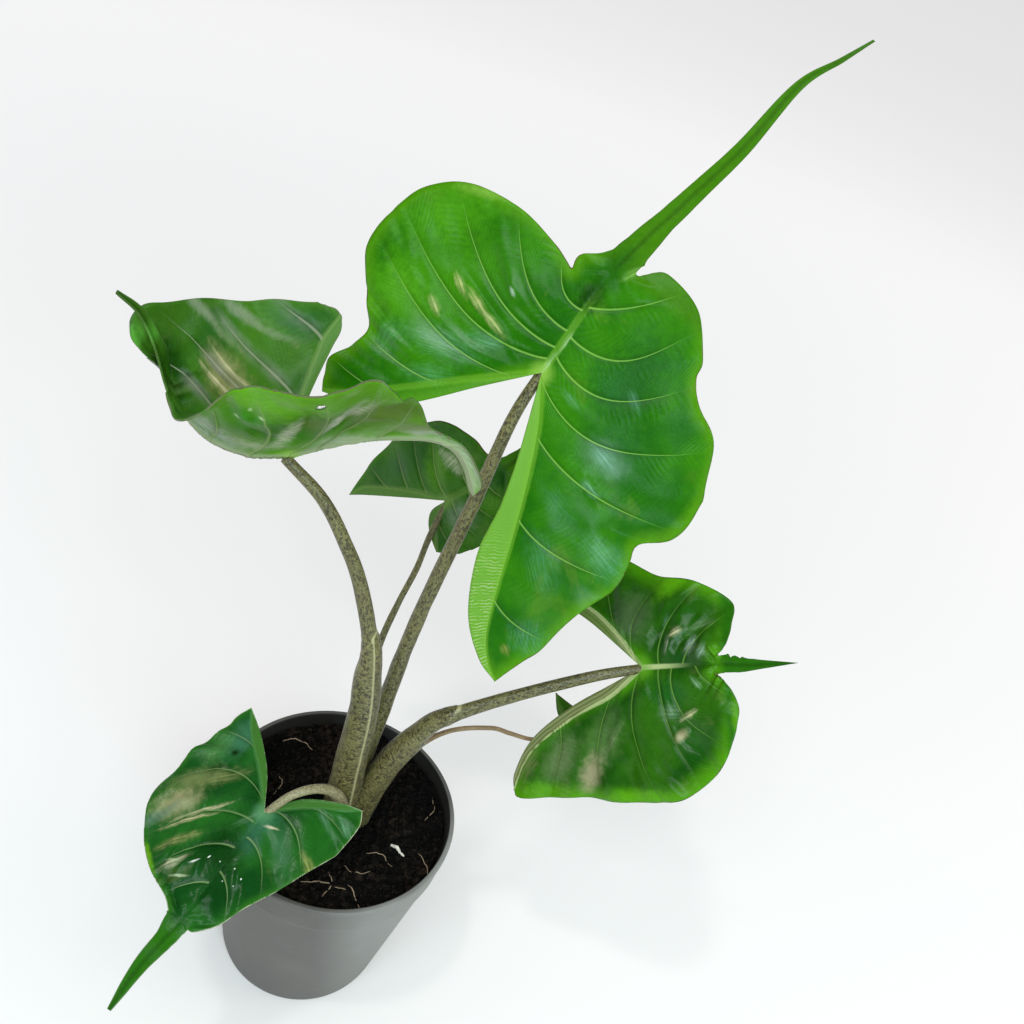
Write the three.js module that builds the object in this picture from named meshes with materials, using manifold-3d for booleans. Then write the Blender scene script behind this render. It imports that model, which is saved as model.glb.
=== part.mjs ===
// Stingray alocasia in a 12 cm nursery pot.
// Millimetres, +Z up. The origin is the middle of the pot's flat underside.
// Each blade is drawn flat, as a left and a right half, then folded and curved
// about its midrib and turned into place at the top of its stalk.

import * as THREE from "three";
import { mergeVertices } from "three/addons/utils/BufferGeometryUtils.js";
import Module from "manifold-3d";

const wasm = await Module();
wasm.setup();

// Pot
const POT_HEIGHT = 112;
const POT_RIM_RADIUS = 60;
const POT_BASE_RADIUS = 43;
const POT_WALL = 1.2;
const POT_FLOOR = 1.6;
const POT_SHOULDER_Z = 94;
const POT_SHOULDER_RADIUS = 57.4;
const POT_LIP = 1.6;
const POT_LIP_HEIGHT = 2.4;
const POT_BASE_ROUND = 2;
const POT_SIDES = 56;
const DRAIN_HOLES = 8;
const DRAIN_HOLE_RADIUS = 4;
const DRAIN_RING_RADIUS = 32;

// Soil
const SOIL_TOP = 106;
const SOIL_EDGE_DROP = 1.5;
const SOIL_RINGS = 9;
const SOIL_CRUMB = 1.6;
const SOIL_SIDES = 40;

// Clearance between pieces that touch
const GAP = 0.3;

// Blades
const BLADE_THICKNESS = 0.7;
const RIB_WIDTH = 3;
const RIB_DEPTH = 1.7;
const QUILT = 0.9;
const WAVE_STEP = 1.7;
const SMALL_WIDTH = 30;
const INNER_SAG = 0.4;
// How far out the rows' inner points lie, between the rib and the margin.
const ROW_SHARES = [0.36, 0.7];
// The midrib's strength at the lobe's tip, at the stalk, at the tail's root and at its tip.
const RIB_AT = { lobe: 0.35, stalk: 1, root: 0.6, tip: 0.1 };

// Stalks
const STALK_FOOT_Z = 86;
const STALK_SIDES = 12;
const STALK_STEP = 9;
const STALK_SEAT = 0.9;
const STALK_REACH = 0.5;

const rad = THREE.MathUtils.degToRad;
const mix = THREE.MathUtils.lerp;

// The six leaves. at: where the stalk meets the blade. heading, pitch and roll:
// the way the midrib points, how steeply it climbs and how the blade leans about it.
// front: the midrib from there to the tail's tip, in the leaf's own frame, with
// root counting the point where the blade narrows into its tail.
// Each half: back is the line of its rear lobe, fold and cup are its angle and
// curl at the lobe and at the tail, and the outlines are [forward, outward].
const LEAVES = [
  {
    name: "tall",
    color: 0x3f8f2c,
    at: [25, 45, 351],
    heading: 52,
    pitch: 63,
    roll: 35,
    front: [
      [0, 0, 0], [48, 0, 0], [86, -7, 4], [111, -12, 8],
      [139, -15, 12], [154, -22, 14], [165, -27, 15],
    ],
    root: 1,
    tail: [7, 4.2, 3.4, 2.8, 2, 1, 0],
    rows: [14, 8, 10],
    wave: 1.5,
    left: {
      back: [[-55, 0, 2], [-110, 0, -8]],
      fold: [-4, -4],
      cup: [-14, -12],
      behind: [[-61, 71], [-48, 76], [-32, 69], [-23, 73], [-13, 82]],
      ahead: [[-13, 82], [-2, 89], [12, 89], [31, 83], [43, 68], [47, 45], [44, 26], [44, 13], [50, 8]],
      inner: [[0, 0], [-19, 17], [-42, 37], [-55, 54], [-61, 71]],
      costa: [[0, 0], [-18, 21], [-40, 45], [-54, 61], [-61, 71]],
    },
    right: {
      back: [[-55, 0, 4], [-120, 0, 0]],
      fold: [4, -4],
      cup: [-14, -14],
      behind: [
        [-119, 61], [-104, 65], [-94, 69], [-73, 71], [-57, 78], [-43, 76], [-35, 75], [-25, 86], [-4, 88],
      ],
      ahead: [[-4, 88], [17, 76], [26, 61], [34, 54], [42, 51], [56, 35], [60, 18], [56, 8]],
      inner: [[0, 0], [-19, 7], [-36, 13], [-54, 18], [-76, 22], [-100, 34], [-114, 49], [-119, 61]],
      costa: [[0, 0], [-19, 12], [-41, 22], [-62, 30], [-82, 37], [-102, 45], [-113, 53], [-119, 61]],
    },
  },
  {
    name: "left",
    color: 0x4e7a3a,
    at: [-54, -10, 311],
    heading: -167,
    pitch: 19,
    roll: 0,
    front: [[0, 0, 0], [14, 0, -9], [31, 1, -9], [48, 0, 0], [60, 2, 15], [69, 5, 25], [78, 10, 31]],
    root: 3,
    tail: [6, 5, 3.4, 2.4, 1.2, 0],
    rows: [12, 8, 8],
    wave: 1.5,
    left: {
      back: [[-12, 4, 14], [-26, 6, 26], [-46, 10, 37], [-68, 15, 28]],
      fold: [58, 60],
      cup: [0, 0],
      behind: [[-80, 2], [-78, 9], [-67, 13], [-49, 19], [-34, 40], [-11, 64], [-1, 67]],
      ahead: [[-1, 67], [7, 63], [19, 59], [30, 48], [41, 32], [49, 16], [55, 7]],
      inner: [[0, 0], [-12, 2], [-33, 7], [-45, 9], [-53, 9], [-61, 7], [-69, 4], [-77, 0], [-80, 2]],
      costa: [[0, 0], [-12, 6], [-33, 12], [-45, 14], [-53, 13], [-61, 11], [-69, 8], [-77, 4], [-80, 2]],
    },
    right: {
      back: [[-40, 0, 0]],
      fold: [48, 52],
      cup: [0, 0],
      behind: [[8, 61], [13, 64], [19, 65]],
      ahead: [[19, 65], [33, 58], [44, 47], [61, 31], [72, 19], [76, 11], [71, 6], [61, 5]],
      inner: [[0, 0], [4, 24], [5, 45], [5, 54], [8, 61]],
      costa: [[0, 0], [7, 24], [10, 45], [10, 54], [8, 61]],
    },
  },
  {
    name: "back",
    color: 0x2f5c2c,
    at: [1, 75, 255],
    heading: -8,
    pitch: 54,
    roll: 76,
    front: [[0, 0, 0], [36, 0, 0], [58, 4, -5], [83, 11, -9]],
    root: 1,
    tail: [5, 3, 2, 1, 0],
    rows: [8, 6, 6],
    wave: 1,
    left: {
      back: [[-50, 0, -4]],
      fold: [-8, 0],
      cup: [-10, -10],
      behind: [[-58, 27], [-42, 33], [-27, 37], [-8, 40]],
      ahead: [[-8, 40], [11, 37], [22, 32], [30, 20], [33, 10], [38, 5]],
      inner: [[0, 0], [-16, 8], [-46, 22], [-58, 27]],
      costa: [[0, 0], [-16, 12], [-44, 26], [-58, 27]],
    },
    right: {
      back: [[-50, 0, -4]],
      fold: [-4, 0],
      cup: [-10, -10],
      behind: [[-22, 20], [-12, 25], [-1, 27]],
      ahead: [[-1, 27], [14, 26], [26, 20], [34, 11], [39, 5]],
      inner: [[0, 0], [-11, 1], [-18, 8], [-22, 20]],
      costa: [[0, 0], [-8, 5], [-15, 11], [-22, 20]],
    },
  },
  {
    name: "right",
    color: 0x2c5a28,
    at: [113, 35, 232],
    heading: -10,
    pitch: 36,
    roll: 48,
    front: [[0, 0, 0], [36, 0, 0], [48, -1, 0], [71, -1, -1]],
    root: 1,
    tail: [4.5, 3.2, 2, 1, 0],
    rows: [12, 8, 6],
    wave: 1.2,
    left: {
      back: [[-60, 0, -6]],
      fold: [5, 5],
      cup: [-10, -20],
      behind: [[-56, 44], [-44, 47], [-32, 48], [-20, 50], [-4, 50]],
      ahead: [[-4, 50], [10, 42], [27, 38], [43, 28], [43, 17], [40, 8], [39, 5]],
      inner: [[0, 0], [-11, 10], [-26, 23], [-42, 34], [-56, 44]],
      costa: [[0, 0], [-10, 14], [-24, 28], [-41, 38], [-56, 44]],
    },
    right: {
      back: [[-60, 0, -6]],
      fold: [-5, -5],
      cup: [-20, -20],
      behind: [[-75, 56], [-71, 60], [-44, 59], [-21, 61], [2, 61]],
      ahead: [[2, 61], [18, 58], [34, 45], [43, 25], [43, 16], [39, 8], [38, 5]],
      inner: [[0, 0], [-16, 7], [-39, 17], [-61, 31], [-73, 47], [-75, 56]],
      costa: [[0, 0], [-16, 12], [-40, 23], [-63, 38], [-75, 56]],
    },
  },
  {
    name: "front",
    color: 0x2a5229,
    at: [-27, -38, 138],
    heading: -105,
    pitch: -18,
    roll: -1,
    front: [[0, 0, 0], [55, 0, 0], [76, -5, -12], [95, -6, -20]],
    root: 1,
    tail: [5, 4.2, 3.6, 2.4, 1.2, 0],
    rows: [10, 8, 8],
    wave: 1.2,
    left: {
      back: [[-50, 0, 0]],
      fold: [-4, -6],
      cup: [-14, -14],
      behind: [[-26, 36], [-20, 39], [-12, 39], [-3, 38]],
      ahead: [[-3, 38], [8, 33], [23, 26], [37, 19], [49, 14], [56, 8], [57, 5]],
      inner: [[0, 0], [-14, 10], [-23, 26], [-26, 36]],
      costa: [[0, 0], [-11, 13], [-20, 27], [-26, 36]],
    },
    right: {
      back: [[-50, 0, 0]],
      fold: [-4, -4],
      cup: [-14, -14],
      behind: [[-39, 39], [-31, 42], [-24, 43], [-3, 48]],
      ahead: [[-3, 48], [18, 49], [36, 39], [46, 25], [51, 13], [55, 7]],
      inner: [[0, 0], [-16, 11], [-30, 26], [-39, 39]],
      costa: [[0, 0], [-14, 14], [-28, 30], [-39, 39]],
    },
  },
  {
    name: "small",
    color: 0x35602f,
    at: [99, 50, 168],
    heading: -20,
    pitch: 20,
    roll: 40,
    front: [[0, 0, 0], [20, 0, 0], [29, 1, -2], [38, 2, -5]],
    root: 1,
    tail: [3, 2, 1.2, 0],
    rows: [6, 5, 4],
    wave: 0.6,
    left: {
      back: [[-26, 0, -2]],
      fold: [14, 14],
      cup: [0, 0],
      behind: [[-15, 13], [-9, 11], [-3, 9]],
      ahead: [[-3, 9], [8, 10], [16, 7], [21, 3]],
      inner: [[0, 0], [-7, 1], [-11, 4], [-15, 13]],
      costa: [[0, 0], [-7, 4], [-12, 8], [-15, 13]],
    },
    right: {
      back: [[-26, 0, -2]],
      fold: [14, 14],
      cup: [0, 0],
      behind: [[-17, 11], [-11, 13], [-2, 13]],
      ahead: [[-2, 13], [9, 11], [16, 7], [21, 3]],
      inner: [[0, 0], [-8, 3], [-17, 11]],
      costa: [[0, 0], [-8, 6], [-17, 11]],
    },
  },
];

// The stalks, innermost first: each later one is hollowed by those before it, so
// that a sheath wraps what grew inside it. path: centre line. radius: at each point.
const STALKS = [
  {
    name: "tall",
    color: 0x6b6a4c,
    path: [
      [4, 4, STALK_FOOT_Z], [4, 4, 121], [6, 9, 162], [8, 14, 212],
      [11, 20, 248], [16, 28.5, 290], [20, 39, 329],
    ],
    radius: [4.6, 4.4, 4.1, 3.5, 3.2, 3, 2.6, 2.3],
  },
  {
    name: "back",
    color: 0x55543f,
    path: [
      [2, 13, STALK_FOOT_Z], [0, 15, 112], [-5, 30, 150], [-7, 44, 180],
      [-5, 54, 201], [-2, 64, 219], [-1, 71, 236],
    ],
    radius: [2.8, 2.6, 2.2, 1.8, 1.6, 1.5, 1.5, 1.5],
  },
  {
    name: "left",
    color: 0x6a6848,
    path: [
      [2, -1, STALK_FOOT_Z], [2, -3, 112], [1, -5, 150], [0, -7, 190], [-3, -8, 216],
      [-5, -8.5, 229], [-7, -8.5, 237], [-16, -9, 261], [-25, -9, 277], [-38, -9.5, 295],
    ],
    radius: [9, 9, 7.8, 6.8, 6.2, 5.4, 3.4, 3, 2.8, 2.5, 2.2],
  },
  {
    name: "right",
    color: 0x6a6848,
    path: [
      [11, 0, STALK_FOOT_Z], [11, 0, 112], [18, 3, 150], [30, 7, 177], [37, 9, 186],
      [41, 10, 190], [57, 16, 201], [80, 24, 215], [97, 30, 224],
    ],
    radius: [7, 7, 6.6, 5.8, 4.8, 3.3, 2.9, 2.7, 2.5, 2.2],
  },
  {
    name: "front",
    color: 0x5d5038,
    path: [
      [5, -15, STALK_FOOT_Z], [5, -15, 118], [3, -15, 132],
      [-2, -18, 142], [-10, -24, 147], [-19, -31, 145],
    ],
    radius: [4, 3.8, 3.4, 2.6, 2.1, 2, 1.9],
  },
  {
    name: "small",
    color: 0x9a7a50,
    path: [
      [14, 9, STALK_FOOT_Z], [15, 10, 122], [27, 14, 152], [40, 18, 168],
      [58, 24, 173], [68, 28, 170], [80, 34, 165], [91, 42, 163],
    ],
    radius: [2, 1.9, 1.5, 1.2, 1.1, 1.1, 1, 1, 0.9],
  },
];

// A closed mesh with its shared corners merged, as a solid that can be cut.
function solidOf(geometry) {
  const bare = geometry.clone();
  bare.deleteAttribute("normal");
  bare.deleteAttribute("uv");
  const welded = mergeVertices(bare, 1e-4);
  return new wasm.Manifold(
    new wasm.Mesh({
      numProp: 3,
      vertProperties: new Float32Array(welded.attributes.position.array),
      triVerts: new Uint32Array(welded.index.array),
    }),
  );
}

// The main body of a cut solid, without any scrap that the cut left loose.
function mainBody(solid) {
  return solid.decompose().sort((a, b) => b.volume() - a.volume())[0];
}

function geometryOf(solid) {
  const mesh = solid.getMesh();
  const geometry = new THREE.BufferGeometry();
  geometry.setAttribute("position", new THREE.Float32BufferAttribute(mesh.vertProperties, 3));
  geometry.setIndex(Array.from(mesh.triVerts));
  geometry.computeVertexNormals();
  return geometry;
}

function meshOf(name, geometry, color, roughness) {
  const mesh = new THREE.Mesh(geometry, new THREE.MeshStandardMaterial({ color, roughness, metalness: 0 }));
  mesh.name = name;
  return mesh;
}

// A smooth line through points, measured along its length.
class Line {
  constructor(points) {
    const steps = 60;
    this.curve = new THREE.CatmullRomCurve3(points.map((p) => new THREE.Vector3(p[0], p[1], p[2] ?? 0)));
    this.curve.curveType = "catmullrom";
    this.curve.tension = 0.5;
    this.curve.arcLengthDivisions = steps * (points.length - 1);
    this.marks = points.map((_, i) => this.curve.getLengths()[steps * i]);
    this.length = this.curve.getLength();
  }

  // The point a distance along the line, running straight on past its end.
  at(distance) {
    const held = Math.min(distance / this.length, 1);
    const over = Math.max(distance - this.length, 0);
    return this.curve.getPointAt(held).addScaledVector(this.curve.getTangentAt(held), over);
  }

  // The point at a share of the whole length.
  share(share) {
    return this.curve.getPointAt(share);
  }
}

// The line that a half blade is folded about. A shoulder that reaches past the
// tail's root runs straight on, while the tail itself follows its own curve.
function foldLine(leaf, half, forward, isTail) {
  if (forward < 0) return half.rear.at(-forward);
  if (isTail || forward < leaf.rootAt) return leaf.midrib.at(forward);
  const root = leaf.midrib.at(leaf.rootAt);
  const before = leaf.midrib.at(leaf.rootAt - 1);
  return root.clone().addScaledVector(root.clone().sub(before), forward - leaf.rootAt);
}

// Bends one flat point of a half blade into the leaf's own frame.
function bend(leaf, half, side, forward, outward, isTail = false) {
  const point = foldLine(leaf, half, forward, isTail);
  const along = THREE.MathUtils.smoothstep(forward, -half.reach, leaf.rootAt);
  const fold = rad(mix(half.fold[0], half.fold[1], along));
  const curl = rad(mix(half.cup[0], half.cup[1], along)) / 100 || 1e-6;
  const across = Math.sin(curl * outward) / curl;
  const rise = (1 - Math.cos(curl * outward)) / curl;
  point.y += side * (across * Math.cos(fold) - rise * Math.sin(fold));
  point.z += across * Math.sin(fold) + rise * Math.cos(fold);
  return point;
}

function bendNormal(leaf, half, side, forward, outward, isTail) {
  const step = 0.5;
  const at = (f, o) => bend(leaf, half, side, f, o, isTail);
  const u = at(forward + step, outward).sub(at(forward - step, outward));
  const v = at(forward, outward + step).sub(at(forward, outward - step));
  return u.cross(v).multiplyScalar(side).normalize();
}

// The half width of the tail, from its root to its tip.
function tailWidth(leaf, share) {
  const last = leaf.tail.length - 1;
  const i = Math.min(Math.floor(share * last), last - 1);
  return mix(leaf.tail[i], leaf.tail[i + 1], share * last - i);
}

// Rows of one half from the lobe's tip past the stalk to the tail's tip. Each row
// runs from the spine (the lobe's rib, the midrib, the tail's rib) to the margin.
function halfRows(leaf, half) {
  const costa = new Line([...half.costa].reverse());
  const behind = new Line(half.behind);
  const ahead = new Line(half.ahead);
  const [backRows, frontRows, tailRows] = leaf.rows;
  const rows = [];
  for (let i = 0; i <= backRows; i += 1) {
    const share = i / backRows;
    const rib = mix(RIB_AT.lobe, RIB_AT.stalk, share);
    rows.push({ spine: costa.share(share), margin: behind.share(share), rib });
  }
  for (let i = 1; i <= frontRows; i += 1) {
    const share = i / frontRows;
    const spine = new THREE.Vector3(leaf.rootAt * share, 0, 0);
    rows.push({ spine, margin: ahead.share(share), rib: mix(RIB_AT.stalk, RIB_AT.root, share) });
  }
  const notch = half.ahead[half.ahead.length - 1][0];
  for (let i = 1; i <= tailRows; i += 1) {
    const share = i / tailRows;
    const spine = new THREE.Vector3(mix(leaf.rootAt, leaf.tipAt, share), 0, 0);
    const margin = new THREE.Vector3(mix(notch, leaf.tipAt, share), tailWidth(leaf, share), 0);
    rows.push({ spine, margin, rib: mix(RIB_AT.root, RIB_AT.tip, share) });
  }
  return rows;
}

// The middle surface of a blade as shared points with a facing and a rib depth each.
function bladeSurface(leaf) {
  const points = [];
  const found = new Map();
  const faces = [];

  function addPoint(half, side, flat, lift, rib, isTail = false) {
    const facing = bendNormal(leaf, half, side, flat.x, Math.max(flat.y, 0.6), isTail);
    const place = bend(leaf, half, side, flat.x, flat.y, isTail).addScaledVector(facing, lift);
    const key = place.toArray().map((v) => Math.round(v * 200)).join();
    if (!found.has(key)) {
      found.set(key, points.length);
      points.push({ place, facing: new THREE.Vector3(), rib });
    }
    const index = found.get(key);
    points[index].facing.add(facing);
    points[index].rib = Math.max(points[index].rib, rib);
    return index;
  }

  function addFace(a, b, c, flip) {
    if (a !== b && b !== c && c !== a) faces.push(flip ? [a, c, b] : [a, b, c]);
  }

  function addPatch(grid, flip) {
    for (let i = 0; i + 1 < grid.length; i += 1) {
      for (let j = 0; j + 1 < grid[i].length; j += 1) {
        addFace(grid[i][j], grid[i + 1][j], grid[i + 1][j + 1], flip);
        addFace(grid[i][j], grid[i + 1][j + 1], grid[i][j + 1], flip);
      }
    }
  }

  for (const [half, side] of [[leaf.left, 1], [leaf.right, -1]]) {
    const rows = halfRows(leaf, half);
    const waist = leaf.rows[0] + leaf.rows[1];
    const outer = rows.map((row, i) => {
      const width = row.spine.distanceTo(row.margin);
      const first = Math.min(0.4, RIB_WIDTH / Math.max(width, 1e-3));
      const ahead = ROW_SHARES.map((share) => mix(first, 1, share));
      const shares = i > waist ? [0, 0.5, 1] : [0, first, ...ahead, 1];
      return shares.map((share) => {
        const flat = row.spine.clone().lerp(row.margin, share);
        const ends = i === 0 || i >= waist ? 0 : 1;
        const calm = ends * Math.min(1, width / SMALL_WIDTH);
        const quilt = calm * QUILT * (i % 2 ? 1 : -1) * Math.sin(Math.PI * share);
        const wave = calm * leaf.wave * share * share * Math.sin(WAVE_STEP * i + side);
        return addPoint(half, side, flat, quilt + wave, share === 0 ? row.rib : 0, i > waist);
      });
    });
    const flip = side < 0;
    addPatch(outer.slice(0, waist + 1), flip);
    const [root, neck] = outer.slice(waist, waist + 2);
    for (const [a, b] of [[0, 0], [1, 1], [2, 1], [3, 2]]) addFace(root[a], neck[b], root[a + 1], flip);
    for (const [a, b] of [[1, 0], [3, 1]]) addFace(root[a], neck[b], neck[b + 1], flip);
    addPatch(outer.slice(waist + 1), flip);

    const inside = new Line([...half.inner].reverse());
    const strip = [];
    for (let i = 0; i <= leaf.rows[0]; i += 1) {
      const margin = inside.share(i / leaf.rows[0]);
      const middle = rows[i].spine.clone().lerp(margin, 0.5);
      const ends = i === 0 || i === leaf.rows[0] ? 0 : 1;
      strip.push([
        outer[i][0],
        addPoint(half, side, middle, -ends * INNER_SAG, 0),
        addPoint(half, side, margin, 0, 0),
      ]);
    }
    addPatch(strip, !flip);
  }
  return { points, faces };
}

// The turn and move that bring a leaf from its own frame to its stalk's top.
function poseOf(leaf) {
  const turn = new THREE.Euler(rad(leaf.roll), rad(-leaf.pitch), rad(leaf.heading), "ZYX");
  return new THREE.Matrix4().makeRotationFromEuler(turn).setPosition(...leaf.at);
}

// A blade with thickness: the middle surface offset both ways and closed round its edge.
function bladeGeometry(leaf, extra = 0) {
  const { points, faces } = bladeSurface(leaf);
  const turn = poseOf(leaf);
  const upper = [];
  const lower = [];
  for (const { place, facing, rib } of points) {
    facing.normalize();
    const half = BLADE_THICKNESS / 2 + extra;
    upper.push(place.clone().addScaledVector(facing, half).applyMatrix4(turn));
    lower.push(place.clone().addScaledVector(facing, -half - rib * RIB_DEPTH).applyMatrix4(turn));
  }
  const count = points.length;
  const index = [];
  const edges = new Map();
  for (const [p, q, r] of faces) {
    index.push(p, q, r, p + count, r + count, q + count);
    for (const [from, to] of [[p, q], [q, r], [r, p]]) {
      const back = `${to},${from}`;
      if (edges.has(back)) edges.delete(back);
      else edges.set(`${from},${to}`, [from, to]);
    }
  }
  for (const [from, to] of edges.values()) {
    index.push(to, from, from + count, to, from + count, to + count);
  }
  const geometry = new THREE.BufferGeometry().setFromPoints([...upper, ...lower]);
  geometry.setIndex(index);
  geometry.computeVertexNormals();
  return geometry;
}

// A tapering round stalk, closed at both ends. It ends against the blade's underside.
function stalkGeometry(stalk, extra = 0) {
  const leaf = LEAVES.find((one) => one.name === stalk.name);
  const seat = -STALK_SEAT * stalk.radius[stalk.radius.length - 1] - RIB_DEPTH / 2;
  const top = new THREE.Vector3(STALK_REACH, 0, seat).applyMatrix4(poseOf(leaf));
  const path = new THREE.CatmullRomCurve3([...stalk.path.map((p) => new THREE.Vector3(...p)), top]);
  path.curveType = "catmullrom";
  path.tension = 0.5;
  const spans = stalk.path.length;
  const steps = spans * Math.ceil(path.getLength() / STALK_STEP / spans);
  const points = [];
  const index = [];
  const side = new THREE.Vector3(1, 0, 0);
  const last = stalk.radius.length - 1;
  for (let i = 0; i <= steps; i += 1) {
    const share = i / steps;
    const centre = path.getPoint(share);
    const along = path.getTangent(share);
    side.addScaledVector(along, -side.dot(along)).normalize();
    const up = along.clone().cross(side);
    const k = Math.min(Math.floor(share * last), last - 1);
    const radius = mix(stalk.radius[k], stalk.radius[k + 1], share * last - k) + extra;
    for (let j = 0; j < STALK_SIDES; j += 1) {
      const angle = (2 * Math.PI * j) / STALK_SIDES;
      points.push(
        centre
          .clone()
          .addScaledVector(side, radius * Math.cos(angle))
          .addScaledVector(up, radius * Math.sin(angle)),
      );
    }
  }
  for (let i = 0; i < steps; i += 1) {
    for (let j = 0; j < STALK_SIDES; j += 1) {
      const a = i * STALK_SIDES + j;
      const b = i * STALK_SIDES + ((j + 1) % STALK_SIDES);
      index.push(a, b, b + STALK_SIDES, a, b + STALK_SIDES, a + STALK_SIDES);
    }
  }
  for (const [ring, flip] of [[0, true], [steps, false]]) {
    const share = ring / steps;
    const over = flip ? -extra : extra;
    points.push(path.getPoint(share).addScaledVector(path.getTangent(share), over));
    for (let j = 0; j < STALK_SIDES; j += 1) {
      const a = ring * STALK_SIDES + j;
      const b = ring * STALK_SIDES + ((j + 1) % STALK_SIDES);
      index.push(...(flip ? [b, a] : [a, b]), points.length - 1);
    }
  }
  const geometry = new THREE.BufferGeometry().setFromPoints(points);
  geometry.setIndex(index);
  return geometry;
}

// The outer radius of the pot's tapered wall at a height, up to its shoulder.
function wallRadius(z) {
  return mix(POT_BASE_RADIUS, POT_SHOULDER_RADIUS, Math.min(z / POT_SHOULDER_Z, 1));
}

// The pot: a thin tapered wall with a shoulder below the rim, a lip and drain holes.
function potGeometry() {
  const shoulder = wallRadius(POT_SHOULDER_Z);
  const neck = POT_RIM_RADIUS - POT_LIP;
  const profile = [
    [0, 0],
    [POT_BASE_RADIUS - POT_BASE_ROUND, 0],
    [POT_BASE_RADIUS - POT_BASE_ROUND / 4, POT_BASE_ROUND / 4],
    [POT_BASE_RADIUS, POT_BASE_ROUND],
    [shoulder, POT_SHOULDER_Z],
    [shoulder + 1, POT_SHOULDER_Z + 1.4],
    [neck, POT_HEIGHT - POT_LIP_HEIGHT - 0.6],
    [POT_RIM_RADIUS, POT_HEIGHT - POT_LIP_HEIGHT],
    [POT_RIM_RADIUS, POT_HEIGHT - 0.6],
    [POT_RIM_RADIUS - 0.6, POT_HEIGHT],
    [neck - POT_WALL, POT_HEIGHT],
    [shoulder + 1 - POT_WALL, POT_SHOULDER_Z + 1.8],
    [shoulder - POT_WALL, POT_SHOULDER_Z + 0.4],
    [POT_BASE_RADIUS - POT_WALL, POT_FLOOR + 1.2],
    [POT_BASE_RADIUS - POT_WALL - 1.2, POT_FLOOR],
    [0, POT_FLOOR],
  ];
  const wall = new THREE.LatheGeometry(profile.map(([r, z]) => new THREE.Vector2(r, z)), POT_SIDES);
  wall.rotateX(Math.PI / 2);
  let pot = solidOf(wall);
  for (let i = 0; i < DRAIN_HOLES; i += 1) {
    const angle = (2 * Math.PI * (i + 0.5)) / DRAIN_HOLES;
    const drill = new THREE.CylinderGeometry(DRAIN_HOLE_RADIUS, DRAIN_HOLE_RADIUS, 3 * POT_FLOOR, 16);
    drill.rotateX(Math.PI / 2);
    drill.translate(DRAIN_RING_RADIUS * Math.cos(angle), DRAIN_RING_RADIUS * Math.sin(angle), POT_FLOOR / 2);
    pot = pot.subtract(solidOf(drill));
  }
  return geometryOf(pot);
}

// Uneven crumbs of the soil's surface, in millimetres about its level.
function crumbHeight(x, y) {
  const coarse = Math.sin(0.19 * x + 1.3) * Math.cos(0.23 * y - 0.4);
  const fine = Math.sin(0.71 * x - 0.5 * y) * Math.cos(0.64 * y + 0.37 * x + 2);
  return SOIL_CRUMB * (0.7 * coarse + 0.5 * fine);
}

// The soil: a plug that fills the pot from its floor, with a crumbly top.
function soilGeometry() {
  const plugRadius = (z) => wallRadius(z) - POT_WALL - 2 * GAP;
  const foot = POT_FLOOR + GAP;
  const profile = [
    [0, foot],
    [plugRadius(foot) - POT_BASE_ROUND, foot],
    [plugRadius(foot), foot + POT_BASE_ROUND],
    [plugRadius(POT_SHOULDER_Z), POT_SHOULDER_Z],
    [plugRadius(SOIL_TOP), SOIL_TOP - SOIL_EDGE_DROP],
  ];
  for (let i = SOIL_RINGS; i >= 0; i -= 1) {
    profile.push([((plugRadius(SOIL_TOP) - 1) * i) / SOIL_RINGS, SOIL_TOP]);
  }
  const plug = new THREE.LatheGeometry(profile.map(([r, z]) => new THREE.Vector2(r, z)), SOIL_SIDES);
  plug.rotateX(Math.PI / 2);
  const place = plug.attributes.position;
  for (let i = 0; i < place.count; i += 1) {
    if (place.getZ(i) > SOIL_TOP - 0.01) {
      place.setZ(i, SOIL_TOP + crumbHeight(place.getX(i), place.getY(i)));
    }
  }
  return plug;
}

for (const leaf of LEAVES) {
  leaf.midrib = new Line(leaf.front);
  leaf.rootAt = leaf.midrib.marks[leaf.root];
  leaf.tipAt = leaf.midrib.length;
  for (const half of [leaf.left, leaf.right]) {
    half.rear = new Line([[0, 0, 0], ...half.back]);
    half.reach = half.rear.length;
  }
}

const plant = new THREE.Group();
plant.name = "potted_alocasia";
plant.add(meshOf("pot", potGeometry(), 0x5c5a57, 0.55));

let soil = solidOf(soilGeometry());
const taken = [];
for (const stalk of STALKS) {
  let solid = solidOf(stalkGeometry(stalk));
  for (const other of taken) solid = solid.subtract(other);
  // The blade's own room, once in place and once slid towards the notch between the lobes.
  const leaf = LEAVES.find((one) => one.name === stalk.name);
  const slide = new THREE.Vector3(-1, 0, 0).transformDirection(poseOf(leaf));
  for (const distance of [0, 2 * GAP]) {
    const room = bladeGeometry(leaf, 2 * GAP);
    room.translate(...slide.clone().multiplyScalar(distance).toArray());
    solid = solid.subtract(solidOf(room));
  }
  const room = solidOf(stalkGeometry(stalk, GAP));
  soil = soil.subtract(room);
  taken.push(room);
  plant.add(meshOf(`petiole_${stalk.name}`, geometryOf(mainBody(solid)), stalk.color, 0.6));
}
plant.add(meshOf("soil", geometryOf(soil), 0x2a201a, 0.95));
for (const leaf of LEAVES) {
  plant.add(meshOf(`blade_${leaf.name}`, bladeGeometry(leaf), leaf.color, 0.45));
}

export default plant;
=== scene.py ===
# %% [markdown]
# # A potted stingray alocasia
# The real plant has fish-shaped leaves with long thin tails. They stand on mottled
# stalks that wrap each other at the foot, in peat soil, in a thin plastic pot. Every
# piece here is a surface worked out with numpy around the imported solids, and every
# finish is made of shader nodes. Lengths are in millimetres until a mesh is made.

import bpy
import numpy as np
from mathutils import Matrix, Vector


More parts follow.
